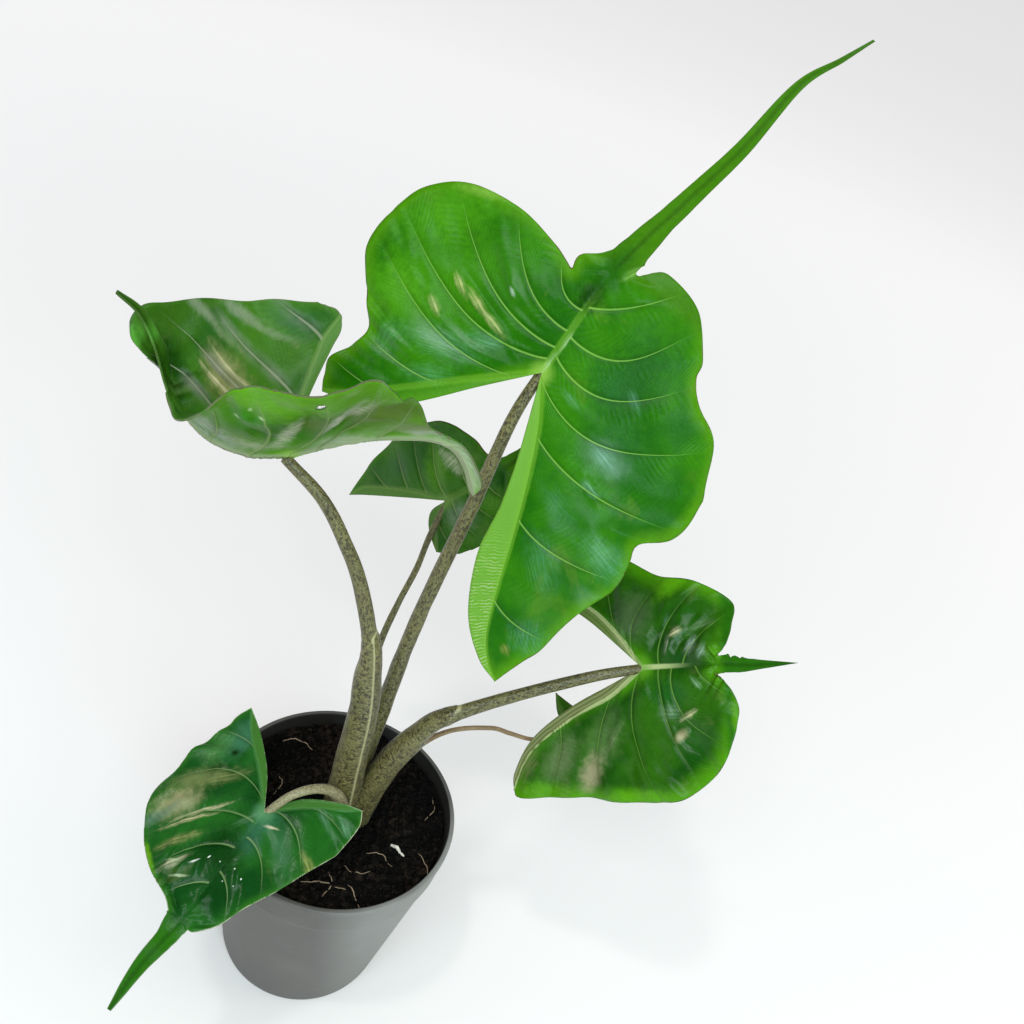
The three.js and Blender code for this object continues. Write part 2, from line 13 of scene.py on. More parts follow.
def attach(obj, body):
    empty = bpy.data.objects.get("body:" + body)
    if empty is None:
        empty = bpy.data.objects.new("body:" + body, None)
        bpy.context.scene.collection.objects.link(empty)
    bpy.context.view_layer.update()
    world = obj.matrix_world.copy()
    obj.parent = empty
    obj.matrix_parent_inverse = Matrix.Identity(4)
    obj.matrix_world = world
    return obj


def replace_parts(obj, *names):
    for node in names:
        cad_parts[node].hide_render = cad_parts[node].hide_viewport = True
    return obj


MM = 0.001
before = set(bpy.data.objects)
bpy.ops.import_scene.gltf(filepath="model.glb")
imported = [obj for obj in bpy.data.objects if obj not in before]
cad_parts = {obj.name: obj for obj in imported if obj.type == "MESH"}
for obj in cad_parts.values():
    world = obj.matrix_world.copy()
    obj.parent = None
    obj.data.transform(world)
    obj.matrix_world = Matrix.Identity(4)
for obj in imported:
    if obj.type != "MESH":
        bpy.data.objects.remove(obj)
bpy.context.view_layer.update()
made = []
print("frame:", ", ".join(sorted(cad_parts)))

# %% [markdown]
# A leaf's outline and its veins are smooth lines through a few measured points. The
# same kind of line carries the stalks. It is measured along its length, so that rows
# of points can be spread evenly or set where a vein starts.


# %% Lines and soft steps
def smooth(low, high, x):
    """0 below low, 1 above high and an S between them: 3t^2 - 2t^3."""
    t = np.clip((x - low) / (high - low), 0, 1)
    return t * t * (3 - 2 * t)


def mix(a, b, share):
    """The value a share of the way from a to b."""
    return a + (b - a) * share


class Line:
    """A cubic between each pair of points, its end slopes half the step between neighbours."""

    STEPS = 60

    def __init__(self, points):
        p = np.array([(tuple(q) + (0.0,))[:3] for q in points], float)
        q = np.vstack([2 * p[0] - p[1], p, 2 * p[-1] - p[-2]])
        x = np.linspace(0, len(p) - 1, self.STEPS * (len(p) - 1) + 1)
        i = np.minimum(x.astype(int), len(p) - 2)
        w = (x - i)[:, None]
        a, b, c, d = q[i], q[i + 1], q[i + 2], q[i + 3]
        bend_back = 3 * (b - c) + d - a
        self.points = b + 0.5 * w * (c - a + w * (2 * a - 5 * b + 4 * c - d + w * bend_back))
        steps = np.linalg.norm(np.diff(self.points, axis=0), axis=1)
        self.marks = np.concatenate([[0], np.cumsum(steps)])
        self.knots = self.marks[:: self.STEPS]
        self.length = self.marks[-1]

    def at(self, distance):
        """The point a distance along, running straight on past the end."""
        held = np.stack([np.interp(distance, self.marks, c) for c in self.points.T], -1)
        last = self.points[-1] - self.points[-2]
        over = np.maximum(distance - self.length, 0)
        return held + over[..., None] * last / np.linalg.norm(last)

    def share(self, share):
        """The point at a share of the whole length."""
        return self.at(np.asarray(share) * self.length)


def noise(x, y, seed):
    """Smooth random bumps between -1 and 1: random heights on a unit grid, eased between."""
    heights = np.random.default_rng(seed).uniform(-1, 1, (64, 64))
    i, j = np.floor(x).astype(int), np.floor(y).astype(int)
    u, v = smooth(0, 1, x - i), smooth(0, 1, y - j)
    corner = lambda a, b: heights[(i + a) % 64, (j + b) % 64]
    low, high = mix(corner(0, 0), corner(1, 0), u), mix(corner(0, 1), corner(1, 1), u)
    return mix(low, high, v)


print("a line through two points 10 mm apart:", round(Line([(0, 0), (10, 0)]).length, 3), "mm")

# %% [markdown]
# A mesh is filled in one go from arrays. Each corner of a face can carry coordinates of
# its own as UV maps, which lets a pattern follow the veins of one half of a leaf and
# still meet the other half's pattern along the midrib.


# %% Turn arrays into a piece
def make_piece(name, points, faces, materials, uvs=None, face_material=None, attributes=None):
    """A smooth-shaded mesh from points in mm and triangles, riding on the plant's one body."""
    mesh = bpy.data.meshes.new(name)
    mesh.vertices.add(len(points))
    mesh.vertices.foreach_set("co", (points * MM).astype(np.float32).ravel())
    mesh.loops.add(faces.size)
    mesh.loops.foreach_set("vertex_index", faces.astype(np.int32).ravel())
    mesh.polygons.add(len(faces))
    mesh.polygons.foreach_set("loop_start", np.arange(0, faces.size, 3, dtype=np.int32))
    mesh.update(calc_edges=True)
    mesh.shade_smooth()
    for key, values in (uvs or {}).items():
        mesh.uv_layers.new(name=key).data.foreach_set("uv", values.astype(np.float32).ravel())
    for key, values in (attributes or {}).items():
        kind, field = ("FLOAT_VECTOR", "vector") if values.ndim == 2 else ("FLOAT", "value")
        attribute = mesh.attributes.new(key, kind, "POINT")
        attribute.data.foreach_set(field, values.astype(np.float32).ravel())
    for material in materials:
        mesh.materials.append(material)
    if face_material is not None:
        mesh.polygons.foreach_set("material_index", face_material.astype(np.int32))
    piece = bpy.data.objects.new(name, mesh)
    bpy.context.scene.collection.objects.link(piece)
    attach(piece, "root")
    made.append(piece)
    print(f"{name}: {len(faces)} triangles")
    return piece


print("each piece gets a mesh in metres: 1 mm is", MM)

# %% [markdown]
# Two ways of filling a surface are enough. A grid of points gets two triangles for each
# cell, and two rows with different numbers of points are zipped together.

# %% Triangles
def grid_faces(index):
    """Two triangles for each cell of a grid of point numbers."""
    a, b, c, d = index[:-1, :-1], index[1:, :-1], index[1:, 1:], index[:-1, 1:]
    corners = [np.stack([a, b, c], -1), np.stack([a, c, d], -1)]
    return np.concatenate([three.reshape(-1, 3) for three in corners])


def has_three_corners(faces):
    """True for triangles that still have three different points after welding."""
    a, b, c = faces.T
    return (a != b) & (b != c) & (c != a)


def zip_faces(first, first_at, second, second_at):
    """Triangles between two rows of points whose places along the seam differ. Both rows'
    places are sorted together, and each one in turn moves its own side on by a point."""
    steps = np.concatenate([first_at[1:], second_at[1:]])
    on_first = np.arange(len(steps)) < len(first_at) - 1
    order = np.argsort(steps, kind="stable")
    on_first = on_first[order]
    i = np.concatenate([[0], np.cumsum(on_first)])[:-1]
    j = np.concatenate([[0], np.cumsum(~on_first)])[:-1]
    next_first = first[np.minimum(i + 1, len(first) - 1)]
    next_second = second[np.minimum(j + 1, len(second) - 1)]
    return np.stack([first[i], np.where(on_first, next_first, next_second), second[j]], -1)


print("a sheet of 3 by 3 points:", len(grid_faces(np.arange(9).reshape(3, 3))), "triangles")

# %% [markdown]
# ## The blades
# A leaf was drawn flat on the table first: millimetres forward along the midrib and
# outward from it, for each half. Then the half is folded about the midrib and curled,
# and the whole leaf is turned into place at the top of its stalk. The solids of the
# frame use the same outlines, so the fine leaf lies where the plain one does. The veins
# are given as where they leave the spine, where they meet the margin and how far they bow.

# %% The six leaves
LEAVES = {
    "tall": dict(
        at=(25, 45, 351), turn=(52, 63, 35), root=1, tail=(4.4, 3.6, 3, 2.3, 1.4, 0.5),
        front=[(0, 0, 0), (48, 0, 0), (86, -7, 4), (111, -12, 8), (139, -15, 12), (154, -22, 14),
               (165, -27, 15)],
        rows=(14, 8), wave=1.5, puff=0.35, crumple=0.8, frill=0.7, rib=2.6,
        left=dict(
            back=[(-55, 0, 2), (-110, 0, -8)], fold=(-4, -4), cup=(-14, -12),
            behind=[(-61, 71), (-48, 76), (-32, 69), (-23, 73), (-13, 82)],
            ahead=[(-13, 82), (-2, 89), (12, 89), (31, 83), (43, 68), (47, 45), (44, 26),
                   (41, 17), (40, 14), (44, 15), (47, 14), (51, 9), (55, 6)],
            creases=[(8, 43, 9, 1.3, 77, 1.1), (5, 30, 8, 1.2, 75, 1.0),
                     (-4, 51, 5, 1.3, 60, 1.0), (11, 38, 12, 1.6, 72, -0.9),
                     (19, 28, 4, 1.3, 50, 0.8), (2, 18, 8, 1.2, 60, 0.6),
                     (44, 18, 5, 1.2, 80, 0.7), (47, 10, 6, 1.2, 85, 0.8)],
            inner=[(0, 0), (-19, 17), (-42, 37), (-55, 54), (-61, 71)],
            costa=[(0, 0), (-18, 21), (-40, 45), (-54, 61), (-61, 71)],
            veins=[(0.18, 0.08, 0.05), (0.36, 0.17, 0.06), (0.58, 0.39, 0.12),
                   (0.71, 0.47, 0.14), (0.745, 0.60, 0.13), (0.80, 0.74, 0.15),
                   (0.87, 0.87, 0.2)],
        ),
        right=dict(
            back=[(-55, 0, 4), (-120, 0, 0)], fold=(4, -4), cup=(-14, -14),
            behind=[(-119, 61), (-104, 65), (-94, 69), (-73, 71), (-57, 78), (-43, 76),
                    (-35, 75), (-25, 86), (-4, 88)],
            ahead=[(-4, 88), (17, 76), (26, 61), (34, 54), (42, 51), (56, 35), (60, 18),
                   (57, 12), (53, 9), (53, 7), (56, 7)],
            creases=[(-27, 44, 8, 1.3, -60, 0.9), (51, 12, 6, 1.2, 70, 0.8),
                     (47, 20, 7, 1.3, 60, 0.7)],
            inner=[(0, 0), (-19, 7), (-36, 13), (-54, 18), (-76, 22), (-100, 34), (-114, 49),
                   (-119, 61)],
            costa=[(0, 0), (-19, 12), (-41, 22), (-62, 30), (-82, 37), (-102, 45), (-113, 53),
                   (-119, 61)],
            veins=[(0.21, 0.12, 0.09), (0.41, 0.29, 0.09), (0.60, 0.44, 0.09), (0.73, 0.60, 0.2),
                   (0.79, 0.72, 0.22), (0.84, 0.82, 0.22), (0.91, 0.89, 0.08)],
        ),
    ),
    "left": dict(
        at=(-54, -10, 311), turn=(-167, 19, 0), root=3, tail=(5, 3.6, 2.8, 2.2, 1.6, 0.8),
        front=[(0, 0, 0), (14, 0, -9), (31, 1, -9), (48, 0, 0), (60, 2, 15), (69, 5, 25),
               (78, 10, 31)],
        rows=(12, 8), wave=1.5, puff=0.7, crumple=1.1, frill=1.6, rib=2.2, hole=(7, 53, 1.5, 2.8),
        left=dict(
            back=[(-12, 4, 14), (-26, 6, 26), (-46, 10, 37), (-68, 15, 28)],
            fold=(58, 60), cup=(0, 0), open_from=(34, 50, -46),
            behind=[(-80, 2), (-78, 9), (-67, 13), (-49, 19), (-34, 40), (-11, 64), (-1, 67)],
            ahead=[(-1, 67), (7, 63), (19, 59), (30, 48), (41, 32), (49, 16), (55, 7)],
            creases=[(19, 31, 3, 2, 90, -1.0), (26, 30, 3, 2, 90, -1.0),
                     (5, 35, 14, 2.2, 80, 0.9), (-12, 28, 14, 2.6, 75, 1.1),
                     (14, 20, 12, 2, 20, 0.8), (-30, 30, 16, 4, 20, -0.9)],
            inner=[(0, 0), (-12, 2), (-33, 7), (-45, 9), (-53, 9), (-61, 7), (-69, 4), (-77, 0),
                   (-80, 2)],
            costa=[(0, 0), (-12, 6), (-33, 12), (-45, 14), (-53, 13), (-61, 11), (-69, 8),
                   (-77, 4), (-80, 2)],
            veins=[(0.2, 0.12, 0.05), (0.38, 0.36, 0.08), (0.54, 0.5, 0.12), (0.63, 0.62, 0.14),
                   (0.73, 0.75, 0.15), (0.84, 0.87, 0.15)],
        ),
        right=dict(
            back=[(-40, 0, 0)], fold=(48, 52), cup=(0, 0),
            behind=[(8, 61), (12, 64), (19, 65)],
            ahead=[(19, 65), (33, 58), (44, 47), (61, 31), (72, 18), (80, 9), (82, 2), (79, -3),
                   (70, -2), (60, 3)],
            creases=[(37, 22, 10, 1.5, -70, 0.7), (60, 14, 8, 1.6, -60, 1.1),
                     (68, 8, 6, 1.5, -80, 1.3), (50, 12, 8, 1.5, -50, 0.9)],
            inner=[(0, 0), (4, 24), (5, 45), (5, 54), (8, 61)],
            costa=[(0, 0), (7, 24), (10, 45), (10, 54), (8, 61)],
            veins=[(0.1, 0.22, 0.1), (0.36, 0.49, 0.16), (0.52, 0.72, 0.2), (0.7, 0.88, 0.2)],
        ),
    ),
    "back": dict(
        at=(1, 75, 255), turn=(-8, 54, 76), root=1, tail=(3, 2, 1, 0),
        front=[(0, 0, 0), (36, 0, 0), (58, 4, -5), (83, 11, -9)],
        rows=(8, 6), wave=1, puff=1.2, crumple=0.6, frill=0.6, rib=1.6,
        left=dict(
            back=[(-50, 0, -4)], fold=(-8, 0), cup=(-10, -10),
            behind=[(-58, 27), (-42, 33), (-27, 37), (-8, 40)],
            ahead=[(-8, 40), (11, 37), (22, 32), (30, 20), (33, 10), (38, 5)],
            inner=[(0, 0), (-16, 8), (-46, 22), (-58, 27)],
            costa=[(0, 0), (-16, 12), (-44, 26), (-58, 27)],
            veins=[(0.28, 0.2, 0.03), (0.42, 0.40, 0.03), (0.54, 0.52, 0.05), (0.66, 0.64, 0.1),
                   (0.8, 0.8, 0.12)],
        ),
        right=dict(
            back=[(-50, 0, -4)], fold=(-4, 0), cup=(-10, -10),
            behind=[(-22, 20), (-12, 25), (-1, 27)],
            ahead=[(-1, 27), (14, 26), (26, 20), (34, 11), (39, 5)],
            inner=[(0, 0), (-11, 1), (-18, 8), (-22, 20)],
            costa=[(0, 0), (-8, 5), (-15, 11), (-22, 20)],
            veins=[(0.3, 0.2, 0.15), (0.52, 0.45, 0.15), (0.68, 0.66, 0.15), (0.84, 0.84, 0.1)],
        ),
    ),
    "right": dict(
        at=(113, 35, 232), turn=(-10, 36, 48), root=1, tail=(3.2, 2, 1, 0),
        front=[(0, 0, 0), (36, 0, 0), (48, -1, 0), (71, -1, -1)],
        rows=(12, 8), wave=1.2, puff=0.9, crumple=1.7, frill=1.6, rib=1.9,
        left=dict(
            back=[(-60, 0, -6)], fold=(5, 5), cup=(-10, -20), chewed=0.6,
            behind=[(-56, 44), (-44, 47), (-32, 48), (-20, 50), (-4, 50)],
            ahead=[(-4, 50), (10, 42), (27, 38), (43, 28), (43, 17), (40, 8), (36, 4), (40, 4)],
            creases=[(17, 15, 4, 1.8, 30, 1.1), (24, 20, 6, 2, 50, -1.1),
                     (12, 24, 7, 2, 70, 1.0), (30, 12, 6, 1.6, 70, 0.9)],
            inner=[(0, 0), (-11, 10), (-26, 23), (-42, 34), (-56, 44)],
            costa=[(0, 0), (-10, 14), (-24, 28), (-41, 38), (-56, 44)],
            veins=[(0.28, 0.12, 0.05), (0.50, 0.28, 0.05), (0.65, 0.52, 0.2), (0.75, 0.66, 0.15),
                   (0.85, 0.8, 0.1)],
        ),
        right=dict(
            back=[(-60, 0, -6)], fold=(-5, -5), cup=(-20, -20),
            behind=[(-75, 56), (-71, 60), (-44, 59), (-21, 61), (2, 61)],
            ahead=[(2, 61), (18, 58), (34, 45), (43, 25), (43, 16), (39, 8), (35, 5), (38, 4)],
            creases=[(17, 31, 5, 2.2, -40, 1.3), (21, 22, 5, 1.6, -30, 1.1),
                     (27, 40, 9, 3, 60, -1.2), (-25, 44, 10, 4, 80, 0.6)],
            inner=[(0, 0), (-16, 7), (-39, 17), (-61, 31), (-73, 47), (-75, 56)],
            costa=[(0, 0), (-16, 12), (-40, 23), (-63, 38), (-75, 56)],
            veins=[(0.33, 0.14, -0.05), (0.58, 0.30, 0.08), (0.73, 0.50, 0.15),
                   (0.79, 0.62, 0.08), (0.84, 0.76, 0.2), (0.92, 0.9, 0.1)],
        ),
    ),
    "front": dict(
        at=(-27, -38, 138), turn=(-105, -18, -1), root=1, tail=(4.4, 3.9, 3.1, 2.2, 0.9),
        front=[(0, 0, 0), (55, 0, 0), (76, -5, -12), (95, -6, -20)],
        rows=(10, 8), wave=1.2, puff=0.7, crumple=1.3, frill=1.6, rib=2.0,
        left=dict(
            back=[(-50, 0, 0)], fold=(-4, -6), cup=(-14, -14),
            behind=[(-26, 36), (-20, 39), (-12, 39), (-3, 38)],
            ahead=[(-3, 38), (8, 33), (23, 26), (37, 19), (49, 14), (56, 8), (57, 5)],
            creases=[(29, 8, 5, 1.3, 30, 0.7), (20, 20, 10, 3, 60, -0.8)],
            inner=[(0, 0), (-14, 10), (-23, 26), (-26, 36)],
            costa=[(0, 0), (-11, 13), (-20, 27), (-26, 36)],
            veins=[(0.23, 0.17, 0.09), (0.40, 0.45, 0.16), (0.58, 0.66, 0.15),
                   (0.76, 0.84, 0.12)],
        ),
        right=dict(
            back=[(-50, 0, 0)], fold=(-4, -4), cup=(-14, -14),
            behind=[(-39, 39), (-31, 42), (-24, 43), (-3, 48)],
            ahead=[(-3, 48), (18, 49), (36, 39), (46, 25), (51, 13), (55, 7)],
            creases=[(14, 23, 13, 1.8, -20, 1.0), (29, 26, 9, 1.5, -10, 1.0),
                     (3, 29, 12, 2.4, -20, 0.8), (36, 16, 10, 1.4, 0, -0.8),
                     (40, 20, 9, 1.3, -10, 0.8), (33, 9, 6, 1.3, -20, 0.8),
                     (44, 14, 8, 1.2, -5, 0.8)],
            inner=[(0, 0), (-16, 11), (-30, 26), (-39, 39)],
            costa=[(0, 0), (-14, 14), (-28, 30), (-39, 39)],
            veins=[(0.2, 0.15, 0.08), (0.46, 0.47, 0.26), (0.56, 0.68, 0.18), (0.68, 0.83, 0.15),
                   (0.84, 0.93, 0.08)],
        ),
    ),
    "small": dict(
        at=(99, 50, 168), turn=(-20, 20, 40), root=1, tail=(2, 1.2, 0),
        front=[(0, 0, 0), (20, 0, 0), (29, 1, -2), (38, 2, -5)],
        rows=(6, 5), wave=0.6, puff=0.8, crumple=0.3, frill=0.4, rib=1.0,
        left=dict(
            back=[(-26, 0, -2)], fold=(14, 14), cup=(0, 0),
            behind=[(-15, 13), (-9, 11), (-3, 9)],
            ahead=[(-3, 9), (8, 10), (16, 7), (21, 3)],
            inner=[(0, 0), (-7, 1), (-11, 4), (-15, 13)],
            costa=[(0, 0), (-7, 4), (-12, 8), (-15, 13)],
            veins=[(0.35, 0.3, 0.1), (0.58, 0.55, 0.1), (0.8, 0.8, 0.1)],
        ),
        right=dict(
            back=[(-26, 0, -2)], fold=(14, 14), cup=(0, 0),
            behind=[(-17, 11), (-11, 13), (-2, 13)],
            ahead=[(-2, 13), (9, 11), (16, 7), (21, 3)],
            inner=[(0, 0), (-8, 3), (-17, 11)],
            costa=[(0, 0), (-8, 6), (-17, 11)],
            veins=[(0.35, 0.3, 0.1), (0.58, 0.55, 0.1), (0.8, 0.8, 0.1)],
        ),
    ),
}
SIDES = {"left": 1, "right": -1}
for key, leaf in LEAVES.items():
    leaf["midrib"] = Line(leaf["front"])
    leaf["root_at"] = leaf["midrib"].knots[leaf["root"]]
    leaf["tip_at"] = leaf["midrib"].length
    for side in SIDES:
        leaf[side]["rear"] = Line([(0, 0, 0)] + leaf[side]["back"])
        leaf[side]["reach"] = leaf[side]["rear"].length
    print(f"{key} leaf drawn flat: {leaf['tip_at']:.0f} mm from its stalk to the tail's tip")

# %% [markdown]
# Folding and curling. A flat point is first moved to its place on the fold line (the
# lobe's own line behind the stalk, the midrib in front of it). From there it goes out
# along an arc, whose angle and curvature change smoothly from the lobe to the tail.


# %% From flat to folded
CUP_LENGTH = 100
FLATTEST = 1e-6


def fold_line(leaf, half, forward, tail):
    """The point of the fold line at each forward distance. A shoulder that reaches past the
    tail's root runs straight on, and the tail itself follows the midrib's own curve."""
    root = leaf["root_at"]
    front = leaf["midrib"].at(forward if tail else np.minimum(forward, root))
    if not tail:
        step = leaf["midrib"].at(np.array(root)) - leaf["midrib"].at(np.array(root - 1))
        front = front + np.maximum(forward - root, 0)[..., None] * step
    return np.where((forward < 0)[..., None], half["rear"].at(-forward), front)


def bend(leaf, half, side, forward, outward, tail=False):
    """y goes out by sin(k w)/k along the fold's angle and z up by (1 - cos(k w))/k across it.
    The curl k comes from the half's cup: so many degrees on CUP_LENGTH mm."""
    place = fold_line(leaf, half, forward, tail).copy()
    along = smooth(-half["reach"], leaf["root_at"], forward)
    low, high, opened = half.get("open_from", (0, 1, 0))
    angle = np.radians(mix(*half["fold"], along) + opened * smooth(low, high, forward))
    curl = np.radians(mix(*half["cup"], along)) / CUP_LENGTH
    curl = np.where(np.abs(curl) < FLATTEST, FLATTEST, curl)
    across, rise = np.sin(curl * outward) / curl, (1 - np.cos(curl * outward)) / curl
    place[..., 1] += side * (across * np.cos(angle) - rise * np.sin(angle))
    place[..., 2] += across * np.sin(angle) + rise * np.cos(angle)
    return place


def turned(leaf, points):
    """Heading, pitch and roll of the leaf about its stalk's top, then the move there."""
    heading, pitch, roll = np.radians(leaf["turn"])
    turns = ((heading, "Z"), (-pitch, "Y"), (roll, "X"))
    first, second, third = (Matrix.Rotation(angle, 3, axis) for angle, axis in turns)
    return points @ np.array(first @ second @ third).T + np.array(leaf["at"])


for key, leaf in LEAVES.items():
    tip = turned(leaf, leaf["midrib"].points[-1])
    print(f"{key} leaf's tail ends {tip[2]:.0f} mm above the pot's base")

# %% [markdown]
# The grid of a half leaf follows its veins, because a real leaf puffs up between them.
# Each row is a lateral vein or lies between two, bowed as they are, and the rows crowd
# together near a vein, where the surface turns sharply. So a vein is always on a row of
# points, and its distance, in millimetres, can be handed to the shader exactly.

# %% Rows along the veins
ROWS_BETWEEN = 26
CROWDING = 0.6
COLUMNS = 40
TAIL_ROWS = 90
TAIL_COLUMNS = 8
STRIP_COLUMNS = 7
MIDRIB_POINTS = 200


def distance_to(points, line):
    """The distance from each flat point to the nearest point of a flat line."""
    gaps = points[:, None, :2] - line[None, ::4, :2]
    return np.sqrt((gaps**2).sum(-1).min(1))


class HalfPlan:
    """The spine (lobe's rib, then midrib) and the margin of a half leaf, both as shares."""

    def __init__(self, leaf, half):
        costa = Line(list(reversed(half["costa"])))
        midrib = np.zeros((MIDRIB_POINTS, 3))
        midrib[:, 0] = np.linspace(0, leaf["root_at"], MIDRIB_POINTS)
        self.spine = np.vstack([costa.points, midrib[1:]])
        self.spine_marks = np.concatenate([costa.marks, costa.length + midrib[1:, 0]])
        self.costa_length = costa.length
        self.behind, self.ahead = Line(half["behind"]), Line(half["ahead"])
        self.margin = np.vstack([self.behind.points, self.ahead.points[1:]])
        ahead_marks = self.behind.length + self.ahead.marks[1:]
        self.margin_marks = np.concatenate([self.behind.marks, ahead_marks])
        veins = np.array([(0, 0, 0)] + half["veins"] + [(1, 1, 0)], float)
        self.count = len(half["veins"])
        self.creases = half.get("creases", ())
        self.vein_spine, self.vein_margin, self.vein_bow = veins.T
        self.inner = Line(list(reversed(half["inner"])))

    def spine_at(self, distance):
        """The flat point of the spine a distance from the lobe's tip."""
        return np.stack([np.interp(distance, self.spine_marks, c) for c in self.spine.T], -1)

    def margin_at(self, distance):
        """The flat point of the margin a distance from the lobe's tip."""
        return np.stack([np.interp(distance, self.margin_marks, c) for c in self.margin.T], -1)

    def rows(self):
        """Row numbers: whole numbers are veins, and one row starts where the stalk joins."""
        x = np.linspace(0, 1, ROWS_BETWEEN + 1)[:-1]
        eased = x - CROWDING * np.sin(2 * np.pi * x) / (2 * np.pi)
        rows = (np.arange(self.count + 1)[:, None] + eased).ravel()
        stalk_share = self.costa_length / self.spine_marks[-1]
        junction = np.interp(stalk_share, self.vein_spine, np.arange(self.count + 2))
        rows = rows[np.abs(rows - junction) > 0.01]
        return np.sort(np.concatenate([rows, [junction, self.count + 1]]))

    def lay(self, row, share):
        """The flat points of rows by shares across, with the distance along each row."""
        number = np.arange(self.count + 2)
        start = np.interp(row, number, self.vein_spine) * self.spine_marks[-1]
        end = np.interp(row, number, self.vein_margin) * self.margin_marks[-1]
        bow = np.interp(row, number, self.vein_bow)
        a, b = self.spine_at(start)[:, None], self.margin_at(end)[:, None]
        chord = b - a
        length = np.linalg.norm(chord, axis=-1)
        square = np.stack([-chord[..., 1], chord[..., 0], 0 * length], -1)
        swing = bow[:, None] * np.sin(np.pi * share**0.8)
        flat = a + chord * share[..., None] + square * swing[..., None]
        return flat, length * share, start, end


tall_half = HalfPlan(LEAVES["tall"], LEAVES["tall"]["left"])
print("the tall leaf's left half:", len(tall_half.rows()), "rows along", tall_half.count, "veins")

# %% [markdown]
# The relief. Between two veins the blade swells, each vein lies in a shallow groove, the
# margin waves, and a gentle random crumple breaks up the reflections as on a real leaf.
# Below, the midrib and the laterals stand out as ribs.

# %% Relief and thickness
THICKNESS = 0.7
WAVE_STEP = 1.7
SMALL_WIDTH = 30
GROOVE = 0.28
VEIN_HALF_WIDTH = 0.9
RIB_DEPTH = 1.7
LATERAL_DEPTH = 0.45
INNER_SAG = 0.4
FRILL_LENGTH = 9
BROAD_LENGTH = 17
PINCH_LENGTH, FINE_PINCH_LENGTH = 15, 9
HUSH_LENGTH = 26
print(f"a blade is {THICKNESS} mm thick, and up to {THICKNESS + RIB_DEPTH:.1f} mm at the midrib")


def creased(creases, x, y):
    """Listed folds: lift times exp(-(across/wide)^2 - (along/long)^4) about each middle."""
    total = 0 * x
    for at_x, at_y, long, wide, turned_by, lift in creases:
        c, s = np.cos(np.radians(turned_by)), np.sin(np.radians(turned_by))
        u, v = (x - at_x) * c + (y - at_y) * s, (y - at_y) * c - (x - at_x) * s
        total += lift * np.exp(-((v / wide) ** 2) - (u / long) ** 4)
    return total


def relief(leaf, plan, side, flat, row, share, near, along, width, end):
    """How far the blade lifts: puffs between veins, less a groove at each, plus the wave of
    the margin, its creases and random crumples that fade towards the midrib."""
    calm = np.minimum(1, width / SMALL_WIDTH)
    between = np.abs(np.sin(np.pi * row)) ** 0.7
    puff = leaf["puff"] * between * np.sin(np.pi * np.clip(share, 0, 1) ** 0.75) * calm
    groove = GROOVE * np.exp(-((near / VEIN_HALF_WIDTH) ** 2)) * (1 - share) * smooth(0, 0.1, share)
    back_rows, front_rows = leaf["rows"]
    behind = np.minimum(end / plan.behind.length, 1) * back_rows
    ahead = np.maximum(end - plan.behind.length, 0) / plan.ahead.length * front_rows
    wave = leaf["wave"] * share**2 * np.sin(WAVE_STEP * (behind + ahead) + side) * calm
    x, y = flat[..., 0], flat[..., 1]
    seed = 10 * side + len(leaf["front"])
    broad = noise(x / BROAD_LENGTH, y / BROAD_LENGTH, seed + 50)
    pinched = noise(row * 2.3 + 5, along / PINCH_LENGTH, seed + 60)
    pinched = pinched + 0.6 * noise(row * 4.1 + 9, along / FINE_PINCH_LENGTH, seed + 70)
    quiet = noise(x / HUSH_LENGTH + 3, y / HUSH_LENGTH + 8, seed + 80)
    hushed = smooth(0.25, 0.6, quiet * 0.5 + 0.5)
    crumple = leaf["crumple"] * (broad + pinched * hushed * between) * smooth(0, 0.2, share) * calm
    root = leaf["root_at"]
    close = np.exp(-(np.hypot(x - root, y - 6) / FRILL_LENGTH) ** 2)
    curls = noise(0.45 * x + 0.3 * y + 40, y / 16 + 9, seed + 90)
    frill = leaf["frill"] * close * curls * smooth(0, 0.2, share)
    return puff - groove + wave + crumple + frill + creased(plan.creases, x, y)


# %% [markdown]
# Now a half can be laid out: its rows of flat points, how far each point lies from a vein
# and how far it is lifted. The lift dies away at the lobe's tip and at the tail's root.

# %% One half of a blade
def half_blade(leaf, side_name):
    """One half laid out: its plan, its flat points, and for each its nearness to a vein,
    its place along it and its lift."""
    half, side = leaf[side_name], SIDES[side_name]
    plan = HalfPlan(leaf, half)
    rows = plan.rows()
    across = np.linspace(0, 1, COLUMNS + 1) ** 1.15
    row, share = np.meshgrid(rows, across, indexing="ij")
    flat, along, start, end = plan.lay(rows, share)
    step = np.linalg.norm(np.gradient(flat, axis=0), axis=-1) / np.gradient(rows)[:, None]
    number = np.clip(np.round(row), 1, plan.count)
    near = np.abs(row - number) * step
    width = np.linalg.norm(flat[:, -1] - flat[:, 0], axis=-1)[:, None]
    lift = relief(leaf, plan, side, flat, row, share, near, along, width, end[:, None])
    ends = smooth(0, 0.35, row) * smooth(0, 0.35, plan.count + 1 - row)
    lift *= ends
    return dict(
        half=half, side=side, plan=plan, across=across, flat=flat,
        along=along, start=start, near=near, lift=lift, share=share,
    )


print("the most a half of the tall leaf is lifted:",
      round(float(half_blade(LEAVES["tall"], "left")["lift"].max()), 1), "mm")

# %% [markdown]
# The halves meet along the midrib, but their veins start at different places on it. Both
# sets of places are put on the midrib, and each half is zipped to them with triangles. The
# same zip joins the tail, which needs far fewer points across than the blade.


# %% Put the halves together
X, Y, LIFT, NEAR, ALONG, SHARE, INNER, SIDE, MARGIN = range(3, 12)
FAR = 9.0
STRIP_UNIT = 100
TINY = 1e-6


